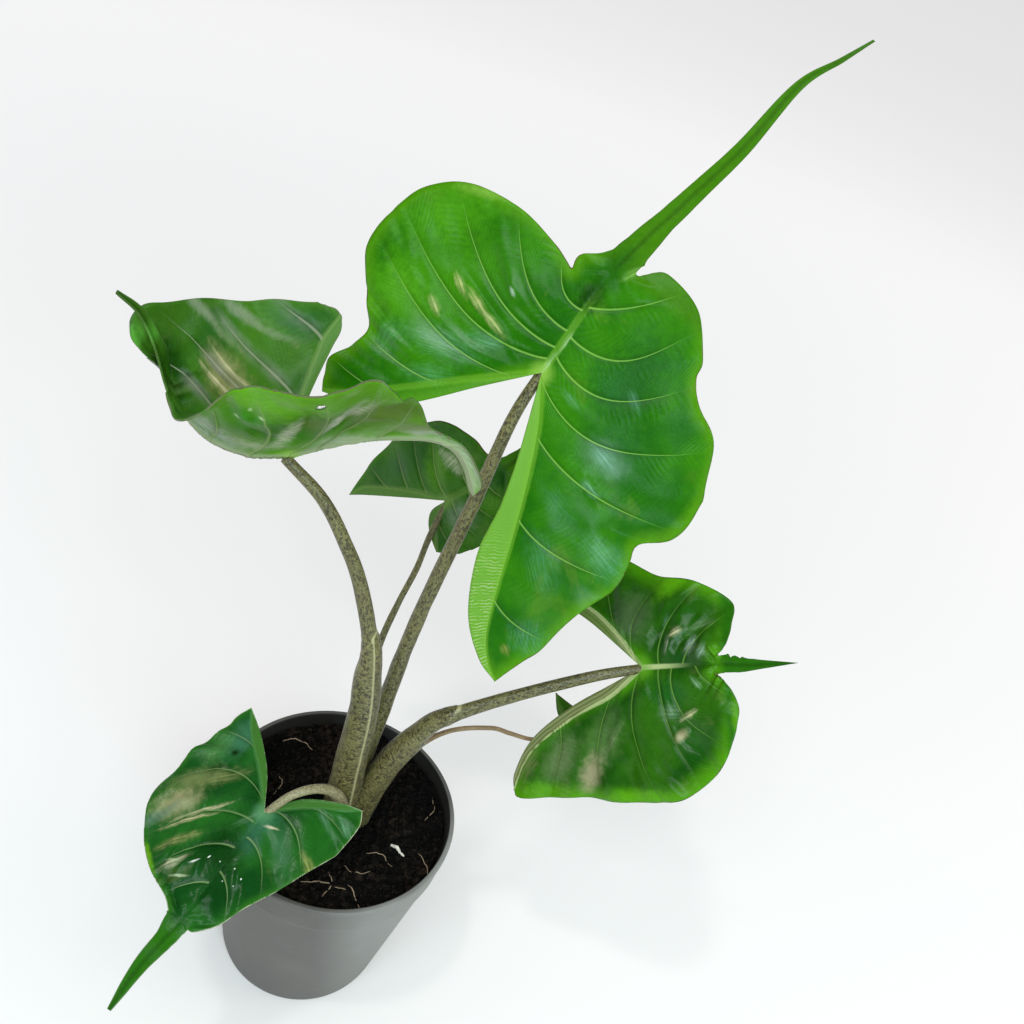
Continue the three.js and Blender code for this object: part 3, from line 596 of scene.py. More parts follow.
class Sheet:
    """Flat points with their place, lift and coordinates, and triangles between them."""

    def __init__(self):
        self.blocks, self.faces, self.count = [], [], 0

    def add(
        self, place, flat, side, lift=0.0, near=FAR, along=0.0, share=0.0, inner=0.0,
        margin=-1.0,
    ):
        """Adds rows of the table: place, then the columns named above. Gives their numbers in
        the shape of the grid they came in. Without a margin of its own, a point has -1."""
        shape = place.shape[:-1]
        values = (flat[..., 0], flat[..., 1], lift, near, along, share, inner, side, margin)
        columns = [np.broadcast_to(v, shape).ravel() for v in values]
        self.blocks.append(np.column_stack([place.reshape(-1, 3), *columns]))
        numbers = self.count + np.arange(int(np.prod(shape))).reshape(shape)
        self.count += numbers.size
        return numbers

    def face(self, faces, flip):
        """Keeps triangles, turned over where flip is true so that all face up."""
        self.faces.append(faces[:, ::-1] if flip else faces)


def add_half(sheet, leaf, h, shared):
    """One half's body, its spine, and the strip on the inner side of its lobe's rib."""
    half, side, plan, flip = h["half"], h["side"], h["plan"], h["side"] > 0
    flat = h["flat"][:, 1:]
    body = sheet.add(
        bend(leaf, half, side, flat[..., 0], flat[..., 1]), flat, side,
        h["lift"][:, 1:], h["near"][:, 1:], h["along"][:, 1:], h["share"][:, 1:],
    )
    sheet.face(grid_faces(body), not flip)
    on_costa = h["start"] < plan.costa_length - TINY
    spine_at = np.concatenate([h["start"][on_costa], plan.costa_length + shared])
    spine_flat = plan.spine_at(spine_at)
    spine_flat[on_costa.sum():, 0] = shared
    spine_place = bend(leaf, half, side, spine_flat[:, 0], spine_flat[:, 1])
    spine = sheet.add(spine_place, spine_flat, side)
    sheet.face(zip_faces(spine, spine_at, body[:, 0], h["start"]), not flip)

    groove_shade = spine_at <= plan.costa_length + TINY
    progress = spine_at[groove_shade] / plan.costa_length
    inner = plan.inner.share(progress)
    out = np.linspace(0, 1, STRIP_COLUMNS + 1)
    strip_flat = mix(spine_flat[groove_shade][:, None], inner[:, None], out[None, :, None])
    sag = -INNER_SAG * np.sin(np.pi * out) * np.sin(np.pi * progress)[:, None]
    wide = np.linalg.norm(inner - spine_flat[groove_shade], axis=-1)[:, None]
    strip = sheet.add(
        bend(leaf, half, side, strip_flat[..., 0], strip_flat[..., 1]), strip_flat, side,
        sag, FAR, wide * out, spine_at[groove_shade][:, None] / STRIP_UNIT, 1.0,
    )
    sheet.face(grid_faces(strip), flip)
    return spine, body


print("columns after the place:", MARGIN - X + 1)

# %% [markdown]
# The tail is a narrow grid of its own, as wide as the leaf's list of widths says and
# slightly channelled. With it and both halves the middle surface of a blade is complete.

# %% The tail, and a whole blade
CHANNEL = 0.5
NIBBLED = 0.08


def add_tail(sheet, leaf, h, spine, body):
    """The half's share of the tail, zipped to the blade's last row."""
    half, side, flip = h["half"], h["side"], h["side"] > 0
    share, across = np.linspace(0, 1, TAIL_ROWS + 1)[1:], np.linspace(0, 1, TAIL_COLUMNS + 1)
    notch = half["ahead"][-1]
    widths = (notch[1],) + leaf["tail"]
    wide = np.interp(share, np.linspace(0, 1, len(widths)), widths)
    bites = half.get("chewed", NIBBLED) * noise(share * 30, 0 * share, 5 + side)
    wide = wide * (1 + bites * (1 - share) ** 6)
    middle_x = mix(leaf["root_at"], leaf["tip_at"], share)
    margin_x = mix(notch[0], leaf["tip_at"], share)
    out = wide[:, None] * across
    flat = np.stack([mix(middle_x[:, None], margin_x[:, None], across), out, 0 * out], -1)
    channel = CHANNEL * np.sin(0.5 * np.pi * across) * (1 - share[:, None])
    tail = sheet.add(
        bend(leaf, half, side, flat[..., 0], flat[..., 1], tail=True), flat, side,
        channel, FAR, out, across[None, :], 0.0, wide[:, None] - out,
    )
    sheet.face(grid_faces(tail), not flip)
    root_row = np.concatenate([[spine[-1]], body[-1]])
    sheet.face(zip_faces(tail[0], across, root_row, h["across"]), not flip)


def blade_sheet(leaf):
    """Both halves, their inner strips and the tail as one table of points and triangles."""
    sheet = Sheet()
    halves = [half_blade(leaf, name) for name in SIDES]
    past = [h["start"] - h["plan"].costa_length for h in halves]
    shared = np.unique(np.round(np.concatenate([p[p > -1e-9] for p in past]), 6))
    for h in halves:
        spine, body = add_half(sheet, leaf, h, shared)
        add_tail(sheet, leaf, h, spine, body)
    return np.vstack(sheet.blocks), np.vstack(sheet.faces), halves


print("the small leaf's middle sheet:", len(blade_sheet(LEAVES["small"])[1]), "triangles")

# %% [markdown]
# The two sheets of a blade. The middle surface is welded along its seams and pushed out
# both ways along its own normals, and the open edge is closed with a narrow rim. The
# ribs are raised on the lower sheet only, where a leaf carries them.


# %% Thickness, ribs and rim
SMOOTHING_ROUNDS = 8
RIB_SPREAD, GROOVE_SPREAD = 0.6, 0.5
RIB_GROOVE = 0.35
LATERAL_HALF_WIDTH = 0.6
LOBE_STRENGTH, TAIL_STRENGTH = 0.35, 0.1


def vertex_normals(points, faces):
    """The sum of the crossed edges of each point's faces, made one long."""
    a, b, c = points[faces].transpose(1, 0, 2)
    facing = np.cross(b - a, c - a)
    at_corner = lambda k, axis: np.bincount(faces[:, k], facing[:, axis], minlength=len(points))
    total = np.stack([sum(at_corner(k, axis) for k in range(3)) for axis in range(3)], -1)
    return total / np.maximum(np.linalg.norm(total, axis=1, keepdims=True), 1e-12)


def edges_of(faces):
    """The three edges of every triangle, as pairs of point numbers."""
    return np.concatenate([faces[:, [0, 1]], faces[:, [1, 2]], faces[:, [2, 0]]])


def evened(normal, faces, rounds):
    """Each normal becomes the mean of itself and its neighbours', a few times over."""
    ends = edges_of(faces)
    for _ in range(rounds):
        sums = [np.bincount(ends[:, 0], n, minlength=len(normal)) for n in normal[ends[:, 1]].T]
        total = np.stack(sums, -1) + 2 * normal
        normal = total / np.maximum(np.linalg.norm(total, axis=1, keepdims=True), 1e-12)
    return normal


def in_hole(hole, middles):
    """True for triangles whose flat middle lies in the ellipse of a torn hole."""
    x, y, wide, high = hole
    at_x, at_y = middles[:, X], middles[:, Y]
    torn = 0.25 * noise(at_x * 1.3, at_y * 1.3, 7)
    inside = np.hypot((at_x - x) / wide, (at_y - y) / high) < 1 + torn
    return inside & (middles[:, SIDE] > 0)


def rib_strength(leaf, forward):
    """The rib's strength falls evenly from 1 at the stalk to the lobes' tips and the tail's."""
    reach = max(leaf[side]["reach"] for side in SIDES)
    back = mix(1, LOBE_STRENGTH, np.clip(-forward / reach, 0, 1))
    front = mix(1, TAIL_STRENGTH, np.clip(forward / leaf["tip_at"], 0, 1))
    return np.where(forward < 0, back, front)


def gaps(leaf, table, halves):
    """The flat distance of each point from its own half's spine and from its margin."""
    spine_gap, margin_gap = np.zeros(len(table)), np.zeros(len(table))
    midrib = np.linspace(leaf["root_at"], leaf["tip_at"], 2 * MIDRIB_POINTS)
    tail = np.column_stack([midrib, 0 * midrib])
    for h in halves:
        own = table[:, SIDE] == h["side"]
        plan, flat, given_gap = h["plan"], table[own][:, [X, Y]], table[own, MARGIN]
        spine_gap[own] = distance_to(flat, np.vstack([plan.spine[:, :2], tail]))
        outline = np.vstack([plan.margin[:, :2], plan.inner.points[:, :2]])
        margin_gap[own] = np.where(given_gap < 0, distance_to(flat, outline), given_gap)
    return spine_gap, margin_gap


print("strength of the tall leaf's rib 60 mm ahead of its stalk:",
      round(float(rib_strength(LEAVES["tall"], 60)), 2))

# %% [markdown]
# Where two parts of the sheet meet, a point appears twice. Such points are welded by their
# place, while each corner of a triangle keeps its own coordinates in the UV maps. The rim
# joins the upper edge to the lower one wherever an edge belongs to one triangle only.

# %% Build a blade
def build_blade(name, leaf, materials):
    """Welds the sheet's seams, offsets it both ways along its normals and closes the rim."""
    table, raw, halves = blade_sheet(leaf)
    rounded = np.round(table[:, :3], 3)
    _, first, weld = np.unique(rounded, axis=0, return_index=True, return_inverse=True)
    weld = weld.ravel()
    faces = weld[raw]
    whole = has_three_corners(faces)
    if "hole" in leaf:
        whole &= ~in_hole(leaf["hole"], table[raw].mean(1))
    faces, raw = faces[whole], raw[whole]
    place, count = table[first, :3], len(first)
    lift = np.bincount(weld, table[:, LIFT], minlength=count)
    lift = lift / np.bincount(weld, minlength=count)
    normal = evened(vertex_normals(place, faces), faces, SMOOTHING_ROUNDS)
    spine_gap, margin_gap = gaps(leaf, table, halves)
    forward, outward, side = table[:, X], table[:, Y], table[:, SIDE]
    strength = rib_strength(leaf, forward)
    ridge = RIB_DEPTH * strength * np.exp(-((spine_gap / (RIB_SPREAD * leaf["rib"])) ** 2))
    near, along, share, inner = (table[:, column] for column in (NEAR, ALONG, SHARE, INNER))
    fade = 1 - np.clip(share, 0, 1)
    lateral = LATERAL_DEPTH * np.exp(-((near / LATERAL_HALF_WIDTH) ** 2)) * fade
    below, dip = np.zeros(count), np.zeros(count)
    np.maximum.at(below, weld, ridge + np.where(inner > 0.5, 0, lateral))
    groove = np.exp(-((spine_gap / (GROOVE_SPREAD * leaf["rib"])) ** 2))
    np.maximum.at(dip, weld, RIB_GROOVE * strength * groove)
    middle = place + normal * (lift - dip)[:, None]
    upper = middle + normal * (THICKNESS / 2)
    lower = middle - normal * (THICKNESS / 2 + below)[:, None]

    edges, raw_edges = edges_of(faces), edges_of(raw)
    pairs = np.sort(edges, axis=1)
    _, back, seen = np.unique(pairs, axis=0, return_inverse=True, return_counts=True)
    rim = seen[back.ravel()] == 1
    (a, b), (ra, rb) = edges[rim].T, raw_edges[rim].T
    quads = [(b, a, a + count), (b, a + count, b + count)]
    rim_faces = np.concatenate([np.column_stack(three) for three in quads])
    rim_raw = np.concatenate([np.column_stack(three) for three in [(rb, ra, ra), (rb, ra, rb)]])
    corners = np.concatenate([raw, raw[:, ::-1], rim_raw])
    kinds = np.concatenate([np.zeros(len(faces)), np.ones(len(faces)), np.zeros(len(rim_faces))])
    pair = lambda u, v: np.stack([u[corners], v[corners]], -1)
    return make_piece(
        name, turned(leaf, np.vstack([upper, lower])),
        np.concatenate([faces, faces[:, ::-1] + count, rim_faces]), materials,
        uvs={
            "flat": pair(forward * MM, outward * side * MM),
            "vein": pair(near * MM, along * MM),
            "rib": pair(spine_gap * MM, margin_gap * MM),
            "place": pair(share, inner),
            "span": pair(forward / leaf["root_at"], strength),
        },
        face_material=kinds,
    )


print("blades to build:", ", ".join(LEAVES))

# %% [markdown]
# ## Materials
# Every pattern is worked out by nodes. A small helper makes one node at a time: each
# input is given either a plain value or the output of another node.


# %% A node at a time
def feed(tree, target, inputs):
    """Gives each named input of a node a plain value, or a link where an output is given."""
    for key, value in inputs.items():
        if isinstance(value, bpy.types.NodeSocket):
            tree.links.new(value, target.inputs[key])
        else:
            target.inputs[key].default_value = value


def node(tree, kind, inputs=None, out=0, **settings):
    """Adds a node, sets its inputs to values or links, and returns one of its outputs."""
    made_node = tree.nodes.new(kind)
    for key, value in settings.items():
        setattr(made_node, key, value)
    feed(tree, made_node, inputs or {})
    return made_node.outputs[out]


def calc(tree, operation, a, b=0.0):
    """One sum, product or other calculation on two numbers."""
    return node(tree, "ShaderNodeMath", {0: a, 1: b}, operation=operation)


def ramp(tree, value, low, high, flip=False):
    """0 below low and 1 above high with a soft step, or the other way round."""
    ends = {"To Min": 1.0, "To Max": 0.0} if flip else {"To Min": 0.0, "To Max": 1.0}
    inputs = {"Value": value, "From Min": low, "From Max": high, **ends}
    return node(tree, "ShaderNodeMapRange", inputs, interpolation_type="SMOOTHSTEP")


def blend(tree, mask, a, b):
    """Colour a where the mask is 0 and colour b where it is 1."""
    return node(tree, "ShaderNodeMix", {0: mask, 6: a, 7: b}, out=2, data_type="RGBA")


def paint(tree, colour, mask, strength, tone):
    """Paints a tone over a colour, as strongly as a mask times a strength."""
    return blend(tree, calc(tree, "MULTIPLY", mask, strength), colour, tone)


def shade(tree, colour, factor):
    """The colour made lighter or darker by a factor."""
    grey = node(tree, "ShaderNodeCombineColor", {0: factor, 1: factor, 2: factor})
    kind = dict(data_type="RGBA", blend_type="MULTIPLY")
    return node(tree, "ShaderNodeMix", {0: 1.0, 6: colour, 7: grey}, out=2, **kind)


def cloud(tree, vector, scale, detail=3.0, rough=0.55, spread=0.0):
    """Cloudy noise between 0 and 1, with so many of its largest lumps in a metre."""
    inputs = {
        "Vector": vector, "Scale": scale, "Detail": detail, "Roughness": rough,
        "Distortion": spread,
    }
    return node(tree, "ShaderNodeTexNoise", inputs)


def srgb(red, green, blue):
    """A colour as a picture shows it, 0 to 255, turned into the linear values of a shader."""
    c = np.array([red, green, blue]) / 255
    linear = np.where(c < 0.04045, c / 12.92, ((c + 0.055) / 1.055) ** 2.4)
    return (*linear, 1.0)


def raise_relief(tree, shader, height, strength, deep):
    """Bends the shader's normal as a height, at most so many mm deep, would."""
    inputs = {"Strength": strength, "Distance": deep * MM, "Height": height}
    tree.links.new(node(tree, "ShaderNodeBump", inputs), shader.inputs["Normal"])


print("a picture's middle grey, 128, is", round(srgb(128, 128, 128)[0], 3), "in a shader")

# %% [markdown]
# A material starts as Blender's Principled shader alone. A group is a set of nodes that
# several materials share, and here all its sockets carry plain numbers.

# %% Materials and groups
FLOAT = "NodeSocketFloat"


def material(name):
    """An empty material with its Principled shader, and the tree to add nodes to."""
    made_material = bpy.data.materials.new(name)
    made_material.use_nodes = True
    tree = made_material.node_tree
    return made_material, tree, tree.nodes["Principled BSDF"]


def group(name, inputs, outputs):
    """An empty shader node group with named sockets for numbers, and its two ends."""
    tree = bpy.data.node_groups.new(name, "ShaderNodeTree")
    for key, value in inputs.items():
        socket = tree.interface.new_socket(key, in_out="INPUT", socket_type=FLOAT)
        socket.default_value = value
    for key in outputs:
        tree.interface.new_socket(key, in_out="OUTPUT", socket_type=FLOAT)
    starts = tree.nodes.new("NodeGroupInput").outputs
    return tree, starts, tree.nodes.new("NodeGroupOutput").inputs


def use(tree, made_group, inputs):
    """Places a group in a material and returns all its outputs."""
    placed = tree.nodes.new("ShaderNodeGroup")
    placed.node_tree = made_group
    feed(tree, placed, inputs)
    return placed.outputs


print("every socket of a group is a", FLOAT)

# %% [markdown]
# The veins of a blade. The mesh hands over, in metres, the distance to the nearest side
# vein, the distance along it, and the distances to the midrib and to the margin. From
# these the group draws the pale veins, the fine ones that leave them like the barbs of a
# feather, the net between those, and the relief they all make. Upper and lower face use
# the same group with their own strengths.

# %% The vein group
def uv(tree, name):
    """The two numbers of a UV map as separate outputs."""
    split = tree.nodes.new("ShaderNodeSeparateXYZ")
    tree.links.new(node(tree, "ShaderNodeUVMap", uv_map=name), split.inputs[0])
    return split.outputs[0], split.outputs[1]


veins, given, result = group(
    "leaf_veins",
    {
        "Vein width": 0.6, "Rib width": 2.0, "Rib ends": 1.0, "Barbs": 1.0, "Left strip": 1.0,
        "Stripes": 0.0, "Lines": 0.0,
    },
    (
        "Vein", "Beside", "Haze", "Rib", "Keel", "Margin", "Edge", "Inner", "Cross", "Barb",
        "Heart", "Tail", "Midline", "Height",
    ),
)


def times(*factors):
    """The product of any number of numbers."""
    return factors[0] if len(factors) == 1 else calc(
        veins, "MULTIPLY", factors[0], times(*factors[1:]))


def plus(a, b):
    """The sum of two numbers."""
    return calc(veins, "ADD", a, b)


def minus(a, b):
    """The first number less the second."""
    return calc(veins, "SUBTRACT", a, b)


def rise(value, low, high):
    """1 where a number of the group is high, 0 where it is low."""
    return ramp(veins, value, low, high)


def fall(value, low, high):
    """1 where a number of the group is low, 0 where it is high."""
    return ramp(veins, value, low, high, flip=True)


near, along = (calc(veins, "MULTIPLY", v, 1 / MM) for v in uv(veins, "vein"))
from_rib, from_margin = (calc(veins, "MULTIPLY", v, 1 / MM) for v in uv(veins, "rib"))
share, inner = uv(veins, "place")
forward, strength = uv(veins, "span")
flat = node(veins, "ShaderNodeUVMap", uv_map="flat")
on_right = fall(uv(veins, "flat")[1], -0.0005, 0.0005)
outer = minus(1.0, inner)
in_tail = rise(forward, 0.98, 1.12)
in_blade = fall(forward, 0.9, 1.05)
print("to read the coordinates:", len(veins.nodes), "nodes")

# %% [markdown]
# First the lines themselves. A vein is where the distance to it is less than its width,
# which shrinks towards the margin, and the midrib is the same with a width of its own.
# Painted shade darkens a band along each vein, and a pale star lies where all the ribs meet the
# stalk.

# %% Veins, ribs and the junction
slim = times(given["Vein width"], minus(1.1, share))
line = fall(calc(veins, "DIVIDE", near, slim), 0.3, 1.0)
vein_mask = times(line, fall(share, 0.7, 1.0), outer)
# painted shade: a darker band along each vein, standing in for the shadow of its groove
groove_shade = times(fall(near, 0.4, 2.8), fall(share, 0.5, 0.95), outer)
rib_fade = fall(minus(forward, given["Rib ends"]), -0.4, 0.1)
slim_rib = times(given["Rib width"], plus(times(strength, 0.8), 0.2))
rib_mask = times(fall(calc(veins, "DIVIDE", from_rib, slim_rib), 0.45, 1.0), rib_fade)
heart = node(veins, "ShaderNodeVectorMath", {0: flat}, out="Value", operation="LENGTH")
heart = fall(heart, 0.001, 0.007)
print("with veins and ribs:", len(veins.nodes), "nodes")

# %% [markdown]
# Then what lies between them. Barbs are the fine veins that leave a side vein at a slant:
# a sine wave, so many radians in a mm along it less so many from it, shaken by noise. The
# strip on the lobe's inner side has its own cross stripes, and a cell pattern gives the
# net of the smallest veins. All of it is added up into one height for the relief.

# %% Barbs, the inner strip and the relief
BARB_RATE, BARB_SLANT, LINE_RATE = 2.6, 2.2, 3.4
STRIPE_RATE, CELLS_PER_METRE = 430, 420

wander = times(cloud(veins, flat, 170, 3.0), 5.0)
in_patches = rise(cloud(veins, flat, 55, 2.0), 0.42, 0.62)
phase = plus(minus(times(along, BARB_RATE), times(near, BARB_SLANT)), wander)
barb = times(calc(veins, "SINE", phase), in_patches, rise(near, 0.3, 1.5), outer, in_blade)
here = plus(times(on_right, minus(1.0, given["Left strip"])), given["Left strip"])
strip = times(inner, here)
ribbed = plus(times(share, STRIPE_RATE), times(cloud(veins, flat, 260, 2.0), 12.0))
cross = times(calc(veins, "SINE", ribbed), strip, given["Stripes"], fall(share, 0.4, 0.8))
cross = times(cross, rise(cloud(veins, flat, 190, 3.0), 0.36, 0.6))
lines = plus(times(along, LINE_RATE), times(cloud(veins, flat, 90, 2.0), 3.0))
lines = times(calc(veins, "SINE", lines), strip, given["Lines"])
cross = plus(cross, lines)
# the keel: paler near the midrib, partly the underside's own colour and partly painted sheen
keel_cloud = rise(cloud(veins, flat, 70, 4.0), 0.36, 0.62)
keel = times(fall(from_rib, 2.0, 17.0), keel_cloud, outer)
# painted sheen: a whitish band in clouds along each side vein
vein_sheen_cloud = rise(cloud(veins, flat, 60, 3.0), 0.3, 0.7)
haze = times(fall(near, 0.5, 5.0), vein_sheen_cloud, outer, in_blade)
net = {"Vector": flat, "Scale": CELLS_PER_METRE}
crease = node(veins, "ShaderNodeTexVoronoi", net, feature="DISTANCE_TO_EDGE")
crease = rise(crease, 0.0, 0.2)
height = plus(times(barb, given["Barbs"], 0.05), times(cross, 0.07))
height = plus(height, plus(times(crease, 0.03), times(line, fall(share, 0.6, 1.0), 0.1)))
edge = fall(from_margin, 0.15, 0.55)
edge = times(edge, plus(times(outer, 0.6), 0.4), plus(times(in_blade, 0.8), 0.2))
drawn_marks = {
    "Vein": vein_mask, "Beside": groove_shade, "Haze": haze, "Rib": rib_mask, "Keel": keel,
    "Margin": from_margin, "Edge": edge, "Inner": strip, "Cross": cross, "Barb": barb,
    "Heart": heart, "Tail": in_tail, "Height": height,
    "Midline": times(in_tail, fall(from_rib, 0.2, 1.6)),
}
for key, value in drawn_marks.items():
    veins.links.new(value, result[key])
print("vein group:", len(veins.nodes), "nodes")

# %% [markdown]
# ## The leaves' skins
# A leaf is never one green, and wax makes it shine unevenly. The painter's way is followed:
# a soft spot is the ellipse of a flat leaf, its edge frayed by noise. A spot of colour is a
# tone or fleck of the leaf, painted shade in a hollow, or painted light: a sheen, a glint or a
# warm reflection. The mask is the distance from the middle in half sizes, plus noise, turned
# into a soft step.

# %% Soft spots
SPOT_INSIDE, SPOT_OUTSIDE = 0.7, 1.8


def soft_spot(tree, flat, wobble, x, y, wide, high, turned_by, streaky=0):
    """A mask that is 1 in the middle of an ellipse of the flat leaf and fades unevenly to 0.
    The place and the half sizes are in mm. A streaky one is drawn out along its width."""
    local = node(tree, "ShaderNodeMapping", {
        "Vector": flat, "Location": (x * MM, y * MM, 0), "Rotation": (0, 0, np.radians(turned_by)),
        "Scale": (wide * MM, high * MM, 1),
    }, vector_type="TEXTURE")
    away = node(tree, "ShaderNodeVectorMath", {0: local}, out="Value", operation="LENGTH")
    mask = ramp(tree, calc(tree, "ADD", away, wobble), SPOT_INSIDE, SPOT_OUTSIDE, flip=True)
    if streaky:
        stretch = {"Vector": local, "Scale": (0.07 * wide, 0.8 * high, 1)}
        drawn_out = node(tree, "ShaderNodeMapping", stretch)
        streaks = ramp(tree, cloud(tree, drawn_out, 1.2, 2.0, 0.6), 0.38, 0.62)
        streaks = calc(tree, "ADD", calc(tree, "MULTIPLY", streaks, 0.7), 0.3)
        mask = calc(tree, "MULTIPLY", mask, streaks)
    return mask


def spotted(tree, flat, colour, spots):
    """Paints soft spots one after another: a mask times a strength mixes in each colour."""
    wobble = calc(tree, "MULTIPLY", cloud(tree, flat, 260, 4.0, 0.65), 1.1)
    for x, y, wide, high, turned_by, tone, strength, streaky in spots:
        mask = soft_spot(tree, flat, wobble, x, y, wide, high, turned_by, streaky)
        colour = paint(tree, colour, mask, strength, srgb(*tone))
    return colour


print("a spot fades from", SPOT_INSIDE, "to", SPOT_OUTSIDE, "half sizes off its middle")

# %% [markdown]
# Wax lies over the colour as a clear coat of its own. So it gets the shader's coat and not
# its gloss: its weight is a sum of soft patches, and its roughness is one plain number,
# because the export keeps only a plain number there.

# %% Wax
WAX_ROUGHNESS = 0.3


def wax_coat(tree, flat, patches):
    """How much wax coats a leaf: the sum of soft patches, each a mask times its own weight."""
    wobble = calc(tree, "MULTIPLY", cloud(tree, flat, 120, 3.0, 0.6), 1.1)
    total = 0.0
    for x, y, wide, high, turned_by, weight in patches:
        mask = soft_spot(tree, flat, wobble, x, y, wide, high, turned_by)
        total = calc(tree, "ADD", calc(tree, "MULTIPLY", mask, weight), total)
    return total


print("wax roughness:", WAX_ROUGHNESS)

# %% [markdown]
# The skin is waxy and never one green: it is yellower towards the margin, darker in soft
# clouds, paler on the veins and darkened along them by painted shade in their grooves, with
# browned thin lines at the very edge. All the skins are one recipe with other values, so one
# function makes them. Colours are as a picture shows them, 0 to 255, widths and zones in mm,
# and the rest are shares.

# %% The recipe of a skin
SKIN = dict(
    base=(42, 108, 2), dark=(22, 86, 2), light=(74, 132, 8), vein=(122, 172, 70),
    rib=(98, 150, 38), tip=(54, 106, 4), inner=(86, 140, 34), stripe=(150, 170, 114),
    edge=(74, 62, 30), warm=(108, 132, 40), heart=(128, 168, 66), hazy=(150, 152, 138),
    vein_width=0.6, rib_width=2.4, rib_ends=0.8, vein_strength=0.6, rib_strength=0.45,
    zone=12, warmth=0.15, roughness=0.3, bump=0.8, barbs=0.5, groove_shade=0.2, seed=0.0, haze=0.0,
    keel=0.0, inner_left=0.12, stripes=0.0, lines=0.0, specular=0.09, spots=(), shine=(),
)


def leaf_skin(name, **changes):
    """A material from the recipe with some values changed. From the bottom up: clouds of two
    greens, a lighter margin, warm patches of painted reflection, the tail and the spots with
    their painted shade, sheen and glints, then random lights and darks with painted shade in
    the vein grooves, painted sheen along the veins and on the keel, and over them the strip,
    the veins, the rib, the junction and the edge."""
    values = {**SKIN, **changes}
    made_material, tree, shader = material(name)
    tone = lambda key: srgb(*values[key])
    marks = use(tree, veins, {
        "Vein width": values["vein_width"], "Rib width": values["rib_width"],
        "Rib ends": values["rib_ends"], "Left strip": values["inner_left"],
        **{key.title(): values[key] for key in ("barbs", "stripes", "lines")},
    })
    drawn = node(tree, "ShaderNodeUVMap", uv_map="flat")
    flat = node(tree, "ShaderNodeMapping", {"Vector": drawn, "Location": (values["seed"], 0, 0)})
    fine = cloud(tree, flat, 300, 5.0, 0.7)
    broad = cloud(tree, flat, 26, 3.0)
    colour = blend(tree, ramp(tree, broad, 0.36, 0.62), tone("dark"), tone("base"))
    unevenly = calc(tree, "ADD", marks["Margin"], calc(tree, "MULTIPLY", broad, 10.0))
    zone = ramp(tree, unevenly, 4.0, values["zone"], flip=True)
    colour = paint(tree, colour, zone, 0.8, tone("light"))
    # painted reflection: warm patches at random, standing in for warm surroundings mirrored by the
    # wax
    patches = ramp(tree, cloud(tree, flat, 44, 4.0, 0.6, 0.6), 0.58, 0.68)
    colour = paint(tree, colour, patches, values["warmth"], tone("warm"))
    colour = blend(tree, marks["Tail"], colour, tone("tip"))
    colour = spotted(tree, drawn, colour, values["spots"])
    lit = calc(tree, "ADD", calc(tree, "MULTIPLY", fine, 0.55), 0.72)
    # painted shade: the band along each vein darkens the colour
    lit = calc(tree, "SUBTRACT", lit, calc(tree, "MULTIPLY", marks["Beside"], values["groove_shade"]))
    lit = calc(tree, "ADD", lit, calc(tree, "MULTIPLY", marks["Barb"], 0.05))
    lit = calc(tree, "SUBTRACT", lit, calc(tree, "MULTIPLY", marks["Midline"], 0.3))
    colour = shade(tree, colour, lit)
    # painted sheen along the veins; on the keel, the underside's paler colour with painted sheen
    for key in ("haze", "keel"):
        if values[key]:
            colour = paint(tree, colour, marks[key.title()], values[key], tone("hazy"))
    inner = blend(tree, ramp(tree, marks["Cross"], -0.2, 0.9), tone("inner"), tone("stripe"))
    colour = blend(tree, marks["Inner"], colour, inner)
    for key in ("vein", "rib"):
        strength = values[f"{key}_strength"]
        colour = paint(tree, colour, marks[key.title()], strength, tone(key))
    colour = paint(tree, colour, marks["Heart"], 0.6, tone("heart"))
    colour = blend(tree, marks["Edge"], colour, tone("edge"))
    tree.links.new(colour, shader.inputs["Base Color"])
    wax = cloud(tree, flat, 70, 3.0)
    rough = calc(tree, "ADD", calc(tree, "MULTIPLY", wax, 0.24), values["roughness"] - 0.12)
    tree.links.new(rough, shader.inputs["Roughness"])
    height = calc(tree, "ADD", marks["Height"], calc(tree, "MULTIPLY", fine, 0.06))
    raise_relief(tree, shader, height, values["bump"], 1)
    shader.inputs["Specular IOR Level"].default_value = values["specular"]
    if values["shine"]:
        shader.inputs["Coat Roughness"].default_value = WAX_ROUGHNESS
        tree.links.new(wax_coat(tree, drawn, values["shine"]), shader.inputs["Coat Weight"])
    return made_material


print("the recipe of a skin has", len(SKIN), "values")
